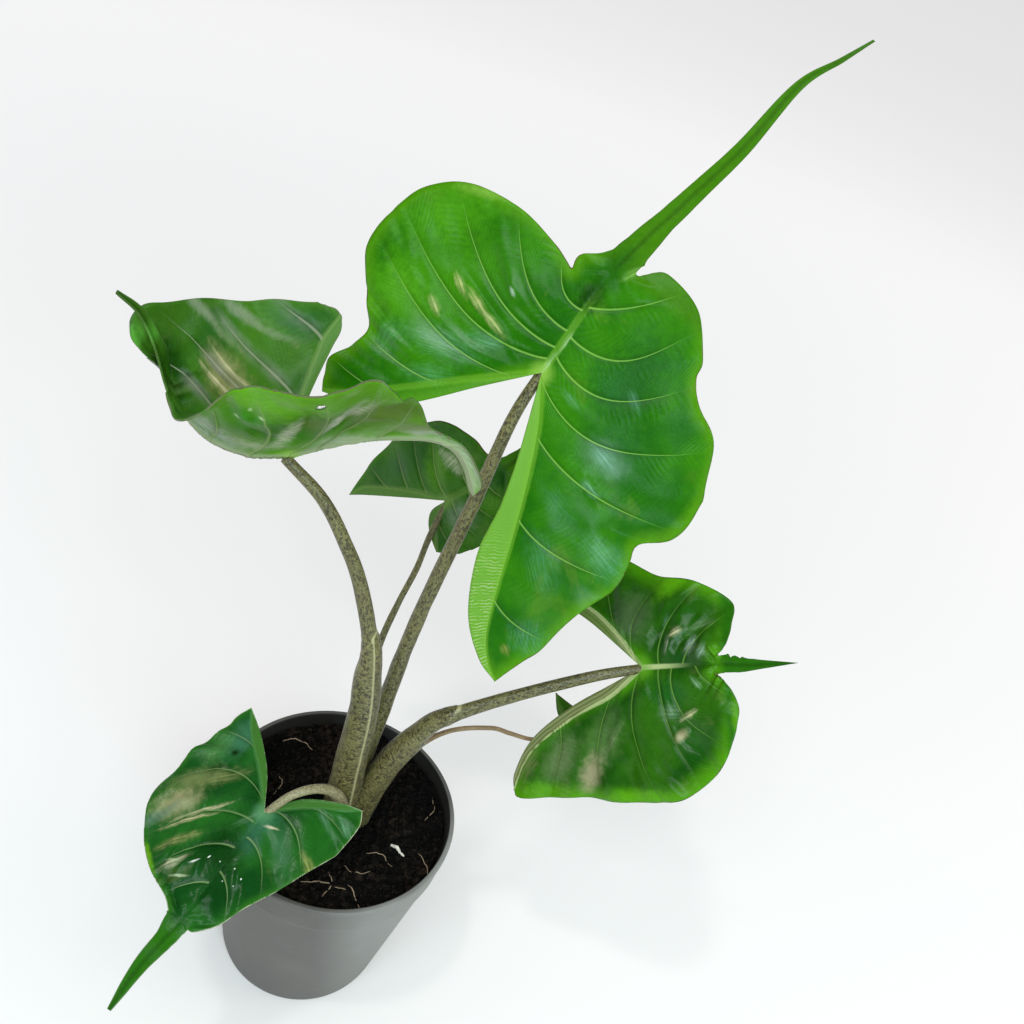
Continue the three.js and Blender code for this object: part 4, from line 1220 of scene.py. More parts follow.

# %% [markdown]
# The spots of each leaf were placed on the leaf drawn flat, with the photograph beside it. A
# row is: millimetres forward and outward (the right half is below 0), half length, half
# width, turn in degrees, colour, strength, and 1 if it is drawn into streaks.

# %% Spots of colour, painted shade and painted light
SPOTS_AND_PAINTED_LIGHT = {
    # tall: tones, painted shade in the midrib's channel, painted highlights on the pinches, painted
    # teal sheen on both lobes, painted glints on the midrib and a brown spot
    "tall": (
        (6, 56, 52, 34, 0, (58, 124, 8), 0.6, 0), (14, -34, 26, 17, 20, (12, 74, 4), 0.8, 0),
        (46, 1, 18, 7, 0, (24, 80, 4), 0.8, 0), (10, -26, 13, 8, 60, (14, 82, 6), 0.7, 0),
        (8, 30, 16, 10, 40, (26, 92, 4), 0.5, 0), (32, 41, 13, 6, 60, (34, 98, 4), 0.6, 0),
        (30, 68, 26, 12, -40, (66, 136, 14), 0.6, 0), (-8, 68, 14, 16, 0, (74, 142, 20), 0.5, 0),
        (35, 2, 8, 6, 0, (14, 54, 2), 0.9, 0), (-104, -56, 3.4, 2.4, 60, (136, 132, 70), 0.5, 1),
        (44, 60, 14, 3, -70, (120, 160, 60), 0.5, 0), (-50, -70, 16, 5, 20, (30, 104, 20), 0.5, 0),
        (9, 47, 6, 2.2, 60, (176, 178, 116), 0.7, 1), (7, 36, 9, 2.2, 70, (176, 176, 116), 0.7, 1),
        (4, 26, 7, 2, 75, (170, 176, 116), 0.7, 1), (-4, 51, 5, 2.2, 60, (176, 174, 120), 0.7, 1),
        (-14, 40, 18, 7, -75, (84, 140, 100), 0.5, 1), (-3, 26, 9, 4, -70, (96, 150, 112), 0.5, 1),
        (-28, 38, 12, 5, -60, (80, 140, 92), 0.5, 1), (-25, 60, 9, 6, 0, (78, 136, 88), 0.45, 1),
        (-14, -42, 9, 4, 77, (108, 158, 134), 0.45, 1),
        (12, -38, 6, 2.4, 60, (96, 146, 120), 0.35, 1), (-2, -16, 6, 2, 75, (96, 142, 106), 0.4, 1),
        (-27, -44, 6, 2.4, 77, (120, 168, 140), 0.5, 1),
        (-48, -66, 15, 7, 77, (88, 144, 110), 0.5, 1), (-40, -38, 12, 5, 77, (60, 118, 78), 0.4, 1),
        (-63, -46, 15, 7, 50, (66, 126, 86), 0.45, 1), (-94, -60, 9, 9, 30, (70, 126, 94), 0.5, 1),
        (3, 0, 7, 1.2, 0, (186, 206, 178), 0.7, 1), (15, -1, 6, 1, 0, (176, 200, 160), 0.6, 1),
        (52, -6, 6, 2, -20, (130, 172, 84), 0.5, 1), (19, 28, 2.4, 1, 60, (170, 190, 170), 0.6, 0),
    ),
    # left: dark tones, a painted warm reflection with pale and dark lines, and painted whitish
    # sheen along the veins
    "left": (
        (60, -6, 12, 8, 10, (14, 58, 2), 0.9, 0), (78, 2, 5, 9, 0, (78, 146, 48), 0.7, 0),
        (37, -21, 14, 9, 0, (128, 130, 82), 0.85, 0),
        (39, -17, 12, 1.1, 4, (192, 186, 146), 0.8, 1),
        (37, -24, 12, 1.1, 0, (186, 178, 138), 0.8, 1), (40, -20, 9, 0.9, 0, (62, 74, 30), 0.8, 1),
        (34, -14, 9, 0.9, 6, (58, 74, 28), 0.7, 1),
        (60, -28, 13, 2.4, 20, (128, 138, 116), 0.55, 0),
        (46, -31, 12, 2, 12, (110, 128, 92), 0.5, 0),
        (43, -43, 13, 3, 20, (132, 140, 120), 0.55, 0),
        (29, -46, 12, 2, 10, (112, 128, 94), 0.5, 0), (22, -54, 12, 8, 0, (36, 84, 44), 0.6, 0),
    ),
    # left_under: tones, painted whitish sheen near the keel and painted glints in the dimples
    "left_under": (
        (22, 46, 28, 13, 0, (80, 142, 4), 0.9, 0), (-24, 36, 22, 13, 0, (70, 92, 30), 0.85, 0),
        (1, 30, 8, 8, 0, (66, 92, 18), 0.75, 0), (25, 30, 10, 8, 0, (38, 108, 2), 0.85, 0),
        (8, 22, 4, 14, 0, (172, 174, 152), 0.85, 1),
        (-8, 34, 4.5, 16, 10, (172, 172, 158), 0.85, 1),
        (-14, 40, 3, 10, 20, (160, 162, 140), 0.6, 1), (15, 9, 14, 4, 0, (150, 158, 128), 0.6, 1),
        (34, 5, 14, 8, 0, (148, 156, 146), 0.8, 1), (-20, 10, 16, 4, 0, (150, 154, 136), 0.7, 1),
        (28, 27, 1.6, 1.2, 0, (186, 212, 160), 0.6, 0),
        (21, 34, 1.4, 1, 0, (186, 212, 160), 0.6, 0), (26, 36, 1, 1.6, 0, (176, 206, 150), 0.5, 0),
        (-42, 23, 12, 8, 0, (96, 106, 64), 0.7, 0), (-54, 17, 12, 4, 30, (84, 116, 60), 0.7, 0),
        (-46, 18, 10, 3, 0, (160, 166, 154), 0.75, 1), (-66, 10, 18, 9, 0, (158, 170, 150), 0.8, 1),
    ),
    # right: tones and yellow margins, painted tan reflections, painted grey-olive sheen and painted
    # glints
    "right": (
        (20, 2, 16, 6, 0, (12, 62, 10), 0.8, 0), (12, -12, 12, 8, 0, (16, 78, 22), 0.7, 0),
        (22, -32, 12, 14, 30, (24, 76, 14), 0.6, 0), (24, 24, 12, 10, 0, (16, 70, 4), 0.6, 0),
        (-22, -32, 18, 10, 55, (80, 110, 58), 0.6, 0), (-46, -41, 15, 9, 55, (98, 118, 78), 0.7, 0),
        (-30, -48, 12, 6, 60, (144, 138, 106), 0.8, 0),
        (-10, 12, 8, 2, -52, (184, 176, 148), 0.75, 1),
        (-66, -44, 12, 6, 50, (120, 118, 84), 0.6, 1), (-4, 24, 12, 14, 0, (82, 104, 68), 0.6, 0),
        (17, 15, 4, 2, 30, (184, 178, 140), 0.8, 1),
        (17, -31, 4.4, 2.6, 40, (160, 152, 116), 0.8, 0),
        (21, -22, 5, 1.8, 30, (180, 176, 136), 0.8, 1), (12, -21, 6, 4, 0, (110, 138, 112), 0.6, 1),
        (24, 9, 5, 2.4, 70, (140, 160, 150), 0.7, 1), (29, 6, 4, 2, 60, (130, 156, 140), 0.6, 1),
        (13, 10, 5, 1.4, 80, (150, 164, 136), 0.6, 1),
        (26, -8, 4, 1.6, -50, (130, 164, 130), 0.6, 1), (29, 18, 8, 2, 20, (104, 130, 92), 0.5, 1),
        (-18, -34, 12, 2.4, 55, (104, 122, 84), 0.5, 1), (16, 38, 12, 6, 40, (86, 150, 14), 0.7, 0),
        (43, -24, 3, 14, 0, (84, 148, 10), 0.6, 0), (-6, -58, 20, 4, 0, (80, 144, 14), 0.7, 0),
        (-58, -56, 16, 6, 0, (80, 142, 20), 0.7, 0),
    ),
    # front: dark and bluish tones, a dark spot and a tan fleck, painted gold reflections and
    # painted white glints
    "front": (
        (22, -4, 15, 12, 0, (4, 46, 6), 0.8, 0), (40, 6, 9, 8, 0, (6, 52, 10), 0.8, 0),
        (-4, 22, 12, 10, 0, (20, 84, 14), 0.5, 0), (2, 2, 8, 7, 0, (58, 112, 80), 0.6, 0),
        (9, 16, 14, 5, 40, (52, 96, 66), 0.5, 0), (-24, -32, 14, 8, 0, (56, 102, 76), 0.7, 0),
        (4, -36, 15, 7, -42, (112, 122, 74), 0.65, 0),
        (-5, -25, 12, 4, -42, (118, 124, 74), 0.65, 1),
        (17, -36, 13, 7, -42, (146, 142, 102), 0.75, 0),
        (14, -24, 15, 1.1, -40, (192, 182, 142), 0.85, 1),
        (20, -26, 14, 1.1, -42, (186, 174, 134), 0.8, 1),
        (30, -24, 12, 3, -40, (150, 146, 96), 0.6, 1),
        (38, -18, 8, 2, -30, (176, 170, 140), 0.7, 1),
        (42, -30, 10, 1.6, 56, (98, 156, 16), 0.8, 0), (26, -40, 16, 3, -30, (84, 112, 92), 0.6, 0),
        (9, 32, 9, 3, 60, (150, 150, 86), 0.7, 1), (-30, 38, 6, 3, 0, (150, 140, 100), 0.6, 1),
        (-16, -30, 2.6, 2, 0, (8, 40, 4), 0.95, 0), (4, 7, 3.6, 0.7, 110, (190, 180, 150), 0.85, 0),
        (-14, 22, 12, 2.4, 60, (92, 128, 104), 0.5, 1), (6, -4, 8, 2, -30, (96, 130, 100), 0.5, 1),
        (34, -11, 2.6, 0.5, -40, (226, 232, 222), 0.9, 1),
        (29, -7, 0.9, 0.35, -20, (226, 232, 222), 0.9, 0),
        (28, -2, 0.35, 0.3, 0, (226, 232, 222), 0.8, 0),
        (27, 5, 0.4, 0.35, 0, (230, 236, 226), 0.9, 0),
        (29, 10, 0.5, 0.35, 0, (230, 236, 226), 0.9, 0),
        (34, 4, 0.4, 0.3, 0, (220, 230, 218), 0.8, 0),
        (33, 9, 0.3, 0.3, 0, (220, 230, 218), 0.8, 0),
        (42, -13, 5, 0.7, -61, (156, 172, 138), 0.7, 0),
        (38, -19, 4, 0.6, -61, (150, 166, 128), 0.6, 0), (12, 3, 10, 6, 10, (46, 90, 70), 0.6, 0),
        (-14, -38, 12, 6, 0, (74, 122, 64), 0.5, 0), (-15, 34, 6, 3, 60, (94, 140, 104), 0.6, 1),
        (40, -4, 8, 6, 0, (16, 66, 20), 0.7, 0),
    ),
    "back": (
        (4, 16, 14, 7, 60, (78, 128, 30), 0.6, 0), (18, 10, 5, 12, 30, (120, 132, 84), 0.6, 1),
        (14, 15, 4, 10, 20, (158, 166, 140), 0.8, 1), (-18, 26, 14, 9, 0, (46, 82, 46), 0.6, 0),
        (24, -12, 12, 9, 0, (72, 130, 20), 0.6, 0), (4, -10, 10, 8, 0, (104, 124, 98), 0.7, 0),
    ),
}
print(sum(len(spots) for spots in SPOTS_AND_PAINTED_LIGHT.values()), "spots of colour")

# %% [markdown]
# Three leaves are waxy enough to catch the window. A row is: millimetres forward and
# outward, half length, half width, turn in degrees, and how much wax there is.

# %% Patches of wax
SHINE = {
    "tall": (
        (-14, -42, 16, 9, 77, 0.6), (-60, -56, 44, 20, 20, 0.28), (-14, 40, 20, 9, -72, 0.6),
        (-28, 56, 16, 10, 0, 0.3), (24, 34, 22, 14, 60, 0.24),
    ),
    "right": ((20, 12, 16, 12, 0, 0.32), (16, -26, 14, 12, 0, 0.24)),
    "front": ((30, 2, 12, 14, 0, 0.16), (-8, 10, 16, 16, 0, 0.12)),
}
print(sum(len(patches) for patches in SHINE.values()), "patches of wax")

# %% [markdown]
# Now each leaf gets its own values. A lower skin is paler and duller, with raised ribs, and
# has no wax, so it starts from a few changes of its own. The back and the small leaf look
# alike on the plant and share their skins.

# %% Two skins for each leaf
UNDER = dict(
    specular=0.12, rib_strength=0.8, rib_ends=3.0, vein_width=1.1, groove_shade=0.12,
    roughness=0.42, bump=0.7, barbs=0.6, warmth=0.2,
)


def under_skin(name, **changes):
    """A lower skin: the recipe, changed by UNDER and then by the leaf's own values."""
    return leaf_skin(name, **{**UNDER, **changes})


SKINS = {
    "tall": (
        leaf_skin(
            "tall_upper", stripes=0.6, barbs=0.8, spots=SPOTS_AND_PAINTED_LIGHT["tall"], shine=SHINE["tall"],
        ),
        under_skin(
            "tall_under", base=(92, 138, 46), dark=(74, 118, 36), light=(112, 154, 50),
            vein=(150, 182, 96), rib=(146, 178, 88),
        ),
    ),
    "left": (
        leaf_skin(
            "left_upper", base=(56, 104, 22), dark=(34, 82, 22), light=(62, 108, 30),
            vein=(142, 148, 122), inner=(58, 106, 30), rib=(104, 134, 68),
            warm=(112, 116, 74), warmth=0.4, vein_width=0.9, zone=8, haze=0.4,
            hazy=(140, 142, 134), edge=(92, 100, 70), heart=(110, 140, 80), rib_width=1.5,
            tip=(46, 88, 16), inner_left=1.0, seed=0.3, specular=0.1, spots=SPOTS_AND_PAINTED_LIGHT["left"],
        ),
        under_skin(
            "left_under", base=(64, 108, 18), dark=(38, 88, 8), light=(78, 138, 6),
            vein=(112, 134, 76), rib=(130, 142, 108), zone=30, warm=(104, 130, 62),
            warmth=0.4, roughness=0.34, inner=(130, 146, 106), keel=0.35, haze=0.1,
            hazy=(148, 154, 136), inner_left=1.0, seed=0.5, spots=SPOTS_AND_PAINTED_LIGHT["left_under"],
        ),
    ),
    "back": (
        leaf_skin(
            "back_upper", base=(46, 94, 16), dark=(26, 74, 14), light=(58, 110, 14),
            vein=(116, 140, 80), warm=(96, 126, 44), inner=(54, 98, 24), rib=(92, 126, 54),
            heart=(96, 130, 60), zone=8, inner_left=1.0, seed=0.7, specular=0.13,
            spots=SPOTS_AND_PAINTED_LIGHT["back"],
        ),
        under_skin(
            "back_under", base=(88, 118, 58), dark=(70, 102, 48), light=(96, 126, 60),
            vein=(140, 158, 108), rib=(136, 156, 100),
        ),
    ),
    "right": (
        leaf_skin(
            "right_upper", base=(38, 88, 8), dark=(12, 62, 4), light=(74, 140, 8),
            vein=(92, 136, 50), inner=(92, 104, 58), rib=(166, 180, 124),
            heart=(86, 138, 36), warm=(118, 116, 78), zone=15, rib_width=1.7, rib_ends=0.62,
            stripe=(150, 150, 110), lines=0.35, rib_strength=0.8, roughness=0.26,
            tip=(34, 92, 8), vein_width=0.55, edge=(50, 38, 20), inner_left=0.7, seed=0.1,
            specular=0.12, spots=SPOTS_AND_PAINTED_LIGHT["right"], shine=SHINE["right"],
        ),
        under_skin(
            "right_under", base=(84, 118, 52), dark=(66, 100, 40), light=(100, 136, 54),
            vein=(140, 160, 104), rib=(140, 160, 100),
        ),
    ),
    "front": (
        leaf_skin(
            "front_upper", base=(30, 88, 26), dark=(10, 60, 16), light=(44, 100, 22),
            vein=(112, 140, 86), inner=(30, 90, 14), rib=(70, 120, 64), heart=(84, 134, 90),
            warm=(116, 120, 66), zone=8, rib_width=1.4, rib_ends=0.2, roughness=0.25,
            tip=(36, 92, 14), edge=(158, 166, 134), inner_left=1.0, seed=0.9, specular=0.12,
            spots=SPOTS_AND_PAINTED_LIGHT["front"], shine=SHINE["front"],
        ),
        under_skin(
            "front_under", base=(80, 116, 54), dark=(62, 98, 44), light=(92, 128, 58),
            vein=(136, 156, 104), rib=(134, 156, 98),
        ),
    ),
}
SKINS["small"] = SKINS["back"]
print("skins:", sum(len(pair) for pair in SKINS.values()) - len(SKINS["small"]), "materials")

# %% [markdown]
# Everything for the blades is ready. Each leaf is built from its flat drawing, gets its
# upper and lower skin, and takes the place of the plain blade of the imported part.

# %% The six blades
BLADE_SLOTS = {"tall": "leaf_bright", "left": "leaf_dull"}
for key, leaf in LEAVES.items():
    slot = BLADE_SLOTS.get(key, "leaf_dark")
    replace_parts(build_blade(f"{key}_blade", leaf, SKINS[key]), f"blade_{key}")

# %% [markdown]
# ## The stalks
# A leaf's stalk is a tapering tube on a smooth path. In its lower part it is a sheath: a
# sheet rolled round the younger stalks, whose one edge overlaps the other, and whose top
# ends in a small pointed tongue. So the section is a slow spiral with a step at the
# overlap, and at the sheath's top the radius falls to the slim stalk's along a slanting
# line that is higher on one side.

# %% Stalk values
STALKS = {
    "tall": dict(
        path=[(4, 4, 86), (4, 4, 121), (6, 9, 162), (8, 14, 212), (11, 20, 248), (16, 28.5, 290),
              (20, 39, 329)],
        radius=[4.6, 4.4, 4.1, 3.5, 3.2, 3, 2.6, 2.3],
    ),
    "back": dict(
        path=[(2, 13, 86), (0, 15, 112), (-5, 30, 150), (-7, 44, 180), (-5, 54, 201),
              (-2, 64, 219), (-1, 71, 236)],
        radius=[2.8, 2.6, 2.2, 1.8, 1.6, 1.5, 1.5, 1.5],
    ),
    "left": dict(
        path=[(2, -1, 86), (2, -3, 112), (1, -5, 150), (0, -7, 190), (-3, -8, 216),
              (-5, -8.5, 229), (-7, -8.5, 237), (-16, -9, 261), (-25, -9, 277), (-38, -9.5, 295)],
        radius=[9, 9, 7.8, 6.8, 6.2, 5.4, 3.4, 3, 2.8, 2.5, 2.2],
        overlap=(310, 0.8), sheath=(231, 12, 350), slim=3.4,
    ),
    "right": dict(
        path=[(11, 0, 86), (11, 0, 112), (18, 3, 150), (30, 7, 177), (37, 9, 186), (41, 10, 190),
              (57, 16, 201), (80, 24, 215), (97, 30, 224)],
        radius=[7, 7, 6.6, 5.8, 4.8, 3.3, 2.9, 2.7, 2.5, 2.2],
        overlap=(290, 0.7), sheath=(187, 8, 190), slim=3.3,
    ),
    "front": dict(
        path=[(5, -15, 86), (5, -15, 118), (3, -15, 132), (-2, -18, 142), (-10, -24, 147),
              (-19, -31, 145)],
        radius=[4, 3.8, 3.4, 2.6, 2.1, 2, 1.9],
    ),
    "small": dict(
        path=[(14, 9, 86), (15, 10, 122), (27, 14, 152), (40, 18, 168), (58, 24, 173),
              (68, 28, 170), (80, 34, 165), (91, 42, 163)],
        radius=[2, 1.9, 1.5, 1.2, 1.1, 1.1, 1, 1, 0.9],
    ),
}
for key, stalk in STALKS.items():
    print(f"{key} stalk: {Line(stalk['path']).length:.0f} mm long")

# %% [markdown]
# The tube is a row of rings. Each ring needs two directions across the path, and they must
# not spin from ring to ring, or the ridges would wind round the stalk like a rope.

# %% Rings on a path
STALK_SEAT = 0.9
STALK_REACH = 0.5
STALK_STEP = 1.0
STALK_SIDES = 28
LUMP = 0.18
FLARE, FLARE_HEIGHT = 0.6, 7
SHEATH_END, SHEATH_SLACK = 0.6, 0.3
SHRINK_FROM, SHRINK_TO = 22, 4
SEAM_WIDTH = 0.6
SEAM_HEIGHT = 0.7
PATTERN_RADIUS = 4


def frames_along(points):
    """Directions across a path that turn as little as they can: each one is the one before,
    less its part along the path. It is the same as rolling a ribbon without twisting it."""
    tangent = np.gradient(points, axis=0)
    tangent /= np.linalg.norm(tangent, axis=1, keepdims=True)
    side = np.zeros_like(points)
    side[0] = (1, 0, 0)
    for i in range(len(points)):
        side[i] = side[max(i - 1, 0)]
        side[i] -= tangent[i] * side[i].dot(tangent[i])
        side[i] /= np.linalg.norm(side[i])
    return side, np.cross(tangent, side)


def rings_on(centre, radius, across, up, angle):
    """Rings of points: centre + radius (across cos a + up sin a) at every point of a path."""
    cos, sin = np.cos(angle)[None, :, None], np.sin(angle)[None, :, None]
    return centre[:, None] + radius * (across[:, None] * cos + up[:, None] * sin)


def closed_tube(rings):
    """Triangles of a tube whose grid is rings by sides, with a middle point at each end."""
    count, sides = rings.shape[:2]
    index = np.arange(count * sides).reshape(count, sides)
    index = np.column_stack([index, index[:, 0]])
    first, last = count * sides, count * sides + 1
    start = np.stack([index[0, 1:], index[0, :-1], np.full(sides, first)], -1)
    end = np.stack([index[-1, :-1], index[-1, 1:], np.full(sides, last)], -1)
    points = np.vstack([rings.reshape(-1, 3), rings[0].mean(0), rings[-1].mean(0)])
    return points, np.concatenate([grid_faces(index.T).reshape(-1, 3), start, end])


print("one ring for each", STALK_STEP, "mm, of", STALK_SIDES, "points")

# %% [markdown]
# A sheath is a change of the tube's radius: a spiral gives its two edges a step, and a
# flare opens its top. A pale line along the edges is kept as a number for the skin.

# %% Build a stalk
def build_stalk(name, stalk, leaf, made_material):
    """radius(angle, height) = slim or sheathed radius, plus a spiral step and fine ridges."""
    seat = -STALK_SEAT * stalk["radius"][-1] - RIB_DEPTH / 2
    top = turned(leaf, np.array([STALK_REACH, 0, seat]))
    line = Line(stalk["path"] + [tuple(top)])
    count = int(line.length / STALK_STEP)
    distance = np.linspace(0, line.length, count)
    centre = line.at(distance)
    across, up = frames_along(centre)
    share = lambda steps: np.linspace(0, 1, steps)
    radii = np.interp(share(len(line.marks)), share(len(stalk["radius"])), stalk["radius"])
    radius = np.interp(distance, line.marks, radii)
    angle = np.linspace(0, 2 * np.pi, STALK_SIDES + 1)[:-1]
    grid = np.broadcast_to(radius[:, None], (count, STALK_SIDES)).copy()
    ridges = 0.05 * np.sin(9 * angle) + 0.04 * np.sin(14 * angle + 1)
    lumps = LUMP * noise(distance[:, None] / 9, 3 * np.cos(angle)[None, :] + 7, len(name))
    grid += (ridges + lumps) * np.minimum(1, grid / 4)
    seam = np.zeros_like(grid)
    if "overlap" in stalk:
        start, step = stalk["overlap"]
        end, slant, tip = stalk["sheath"]
        height = centre[:, 2][:, None]
        ends_at = end + slant * (0.5 + 0.5 * np.cos(angle - np.radians(tip)))[None, :] - slant / 2
        on_sheath = 1 - smooth(ends_at - SHEATH_END, ends_at + SHEATH_END, height)
        turn_share = ((angle - np.radians(start)) / (2 * np.pi)) % 1
        behind_tip = (0.5 - 0.5 * np.cos(angle - np.radians(tip)))[None, :]
        merged = np.minimum(grid, stalk["slim"] + SHEATH_SLACK)
        shrunk = smooth(end - SHRINK_FROM, end - SHRINK_TO, height)
        grid = mix(grid, merged, behind_tip * shrunk)
        grid += step * (turn_share - 0.5)[None, :] * on_sheath
        flare = smooth(ends_at - FLARE_HEIGHT, ends_at, height) * (1 - behind_tip)
        grid += FLARE * on_sheath * flare
        from_edge = np.minimum(turn_share, 1 - turn_share)[None, :] * 2 * np.pi * grid
        seam = on_sheath * np.exp(-((from_edge / SEAM_WIDTH) ** 2))
        seam = seam + np.exp(-(((height - ends_at) / SEAM_HEIGHT) ** 2)) * (1 - behind_tip)
    points, faces = closed_tube(rings_on(centre, grid[..., None], across, up, angle))
    around = PATTERN_RADIUS * np.stack([np.cos(angle), np.sin(angle)], -1)
    unrolled = np.dstack([
        np.broadcast_to(around, (count, STALK_SIDES, 2)),
        np.broadcast_to(distance[:, None], (count, STALK_SIDES)),
    ])
    ends = [(0, 0, 0), (0, 0, line.length)]
    skin = np.concatenate([unrolled.reshape(-1, 3), ends]) * MM
    seam = np.append(np.broadcast_to(seam, grid.shape).ravel(), (0, 0))
    attributes = {"skin": skin, "seam": seam}
    return make_piece(name, points, faces, [made_material], attributes=attributes)


print("stalks to build:", ", ".join(STALKS))

# %% [markdown]
# Stalk skin. These stalks carry dark zigzag bands, short and crosswise, with paler flecks
# between them. The pattern is read from an attribute that holds the place on the tube
# unrolled round a circle, so it runs round and up the stalk without a seam.


# %% Stalk skins
def stalk_skin(name, base, dark, pale, bands, roughness):
    """A mottled material: the base colour, browner near the foot, then dark bands where noise
    stretched round the stalk is high, pale flecks, and the pale seam of the sheath."""
    made_material, tree, shader = material(name)
    place = node(tree, "ShaderNodeAttribute", out="Vector", attribute_name="skin")
    squeezed = node(tree, "ShaderNodeMapping", {"Vector": place, "Scale": (820, 820, 620)})
    band = cloud(tree, squeezed, 1.0, 2.0, 0.6)
    patchy = cloud(tree, place, 150, 3.0)
    band = ramp(tree, calc(tree, "ADD", band, calc(tree, "MULTIPLY", patchy, 0.25)), 0.6, 0.7)
    fleck = cloud(tree, place, 1500, 2.0, 0.6)
    fleck = ramp(tree, fleck, 0.53, 0.62)
    broad = cloud(tree, place, 60, 3.0)
    colour = blend(tree, ramp(tree, broad, 0.3, 0.7), srgb(*[0.8 * v for v in base]), srgb(*base))
    foot = node(tree, "ShaderNodeSeparateXYZ", {0: place}, out=2)
    browner = [0.72 * v for v in (base[0], 0.92 * base[1], 0.8 * base[2])]
    low = ramp(tree, foot, 0.04, 0.11, flip=True)
    colour = paint(tree, colour, low, 0.55, srgb(*browner))
    colour = paint(tree, colour, band, bands, srgb(*dark))
    colour = paint(tree, colour, fleck, 0.5, srgb(*pale))
    seam = node(tree, "ShaderNodeAttribute", out="Fac", attribute_name="seam")
    colour = paint(tree, colour, ramp(tree, seam, 0.3, 0.9), 0.75, srgb(164, 162, 118))
    tree.links.new(colour, shader.inputs["Base Color"])
    height = calc(tree, "ADD", calc(tree, "MULTIPLY", band, -0.3), cloud(tree, squeezed, 0.6, 3.0))
    raise_relief(tree, shader, height, 0.35, 0.3)
    shader.inputs["Roughness"].default_value = roughness
    shader.inputs["Sheen Weight"].default_value = 0.03
    shader.inputs["Sheen Tint"].default_value = (0.85, 0.93, 1.0, 1)
    return made_material


mottled = stalk_skin("stalk_mottled", (99, 97, 54), (40, 32, 13), (146, 141, 92), 0.9, 0.42)
olive = stalk_skin("stalk_brown", (146, 142, 106), (88, 74, 50), (180, 178, 136), 0.6, 0.45)
tan = stalk_skin("stalk_tan", (134, 110, 76), (98, 74, 46), (168, 146, 104), 0.5, 0.5)
print("stalk skins:", ", ".join(skin.name for skin in (mottled, olive, tan)))

# %% [markdown]
# Each stalk ends just inside its own leaf, under the midrib, and replaces the plain stalk
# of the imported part. Four share the mottled skin, and the front and small ones differ.

# %% The six stalks
STALK_SLOTS = {"front": (olive, "stalk_brown"), "small": (tan, "stalk_tan")}
for key, stalk in STALKS.items():
    skin, slot = STALK_SLOTS.get(key, (mottled, "stalk_mottled"))
    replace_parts(build_stalk(f"{key}_stalk", stalk, LEAVES[key], skin), f"petiole_{key}")

# %% [markdown]
# ## The pot
# A thin nursery pot is moulded in one piece: a tapered wall, a small shoulder below the
# rim, a rolled lip and a floor with drain holes. Its profile is turned about the axis.
# The ring of the floor that holds the holes is made of patches, each of which runs from
# a hole's round edge to the straight edges of its sector, so the holes need no cutting.

# %% Pot
POT_HEIGHT, POT_RIM_RADIUS, POT_BASE_RADIUS, POT_WALL, POT_FLOOR = 112, 60, 43, 1.2, 1.6
SHOULDER_Z, SHOULDER_RADIUS, LIP, LIP_HEIGHT, BASE_ROUND = 94, 57.4, 1.6, 2.4, 2
HOLES, HOLE_RADIUS, HOLE_RING = 8, 4, 32
SECTOR_IN, SECTOR_OUT = 24, 39
POT_SIDES, CORNER_POINTS = 256, 7


def wall_radius(z):
    """The wall's radius: the base's plus a share of the way to the shoulder's."""
    return mix(POT_BASE_RADIUS, SHOULDER_RADIUS, np.minimum(z / SHOULDER_Z, 1))


def arc(centre, radius, start, end):
    """Points of a rounded corner of the profile, from one angle to another in degrees."""
    angle = np.radians(np.linspace(start, end, CORNER_POINTS))
    return [(centre[0] + radius * np.cos(a), centre[1] + radius * np.sin(a)) for a in angle]


def lathe(profile, sides):
    """The profile turned about the axis: x = r cos a, y = r sin a, z = z."""
    profile = np.array(profile, float)
    angle = np.linspace(0, 2 * np.pi, sides + 1)
    x, y = profile[:, :1] * np.cos(angle), profile[:, :1] * np.sin(angle)
    return np.stack([x, y, np.broadcast_to(profile[:, 1:], x.shape)], -1)


def weld_parts(parts):
    """Joins grids of points into one list of points and triangles with no doubled corners."""
    points, faces, offset = [], [], 0
    for grid, flip in parts:
        index = offset + np.arange(grid.shape[0] * grid.shape[1]).reshape(grid.shape[:2])
        part_faces = grid_faces(index)
        faces.append(part_faces[:, ::-1] if flip else part_faces)
        points.append(grid.reshape(-1, 3))
        offset += index.size
    points, faces = np.vstack(points), np.vstack(faces)
    _, first, weld = np.unique(np.round(points, 4), axis=0, return_index=True, return_inverse=True)
    faces = weld.ravel()[faces]
    return points[first], faces[has_three_corners(faces)]


def hole_patch(z, number):
    """One sector of the floor ring round its hole: straight lines from the hole's circle,
    at share 0, to the sector's outline, at share 1."""
    per = POT_SIDES // HOLES
    middle = 2 * np.pi * (number + 0.5) / HOLES
    spread = np.pi / HOLES
    ring_steps = 8
    angle = middle + np.linspace(-spread, spread, per + 1)
    radius = np.linspace(SECTOR_IN, SECTOR_OUT, ring_steps + 1)
    outline = [(SECTOR_OUT, a) for a in angle] + [(r, angle[-1]) for r in radius[::-1][1:]]
    outline += [(SECTOR_IN, a) for a in angle[::-1][1:]] + [(r, angle[0]) for r in radius[1:]]
    r, a = np.array(outline).T
    edge = np.stack([r * np.cos(a), r * np.sin(a)], -1)
    hole = np.array([HOLE_RING * np.cos(middle), HOLE_RING * np.sin(middle)])
    outward = edge - hole
    circle = hole + HOLE_RADIUS * outward / np.linalg.norm(outward, axis=1, keepdims=True)
    share = np.linspace(0, 1, 5)[:, None, None]
    flat = mix(circle[None], edge[None], share)
    return np.dstack([flat, np.full(flat.shape[:2], float(z))])


print("radius half way up the pot:", round(float(wall_radius(POT_HEIGHT / 2)), 1), "mm")

# %% [markdown]
# The profile goes up the outside, over the lip and down the inside to the floor. With the
# patches and the floor's middle it makes one closed surface, welded where points coincide.

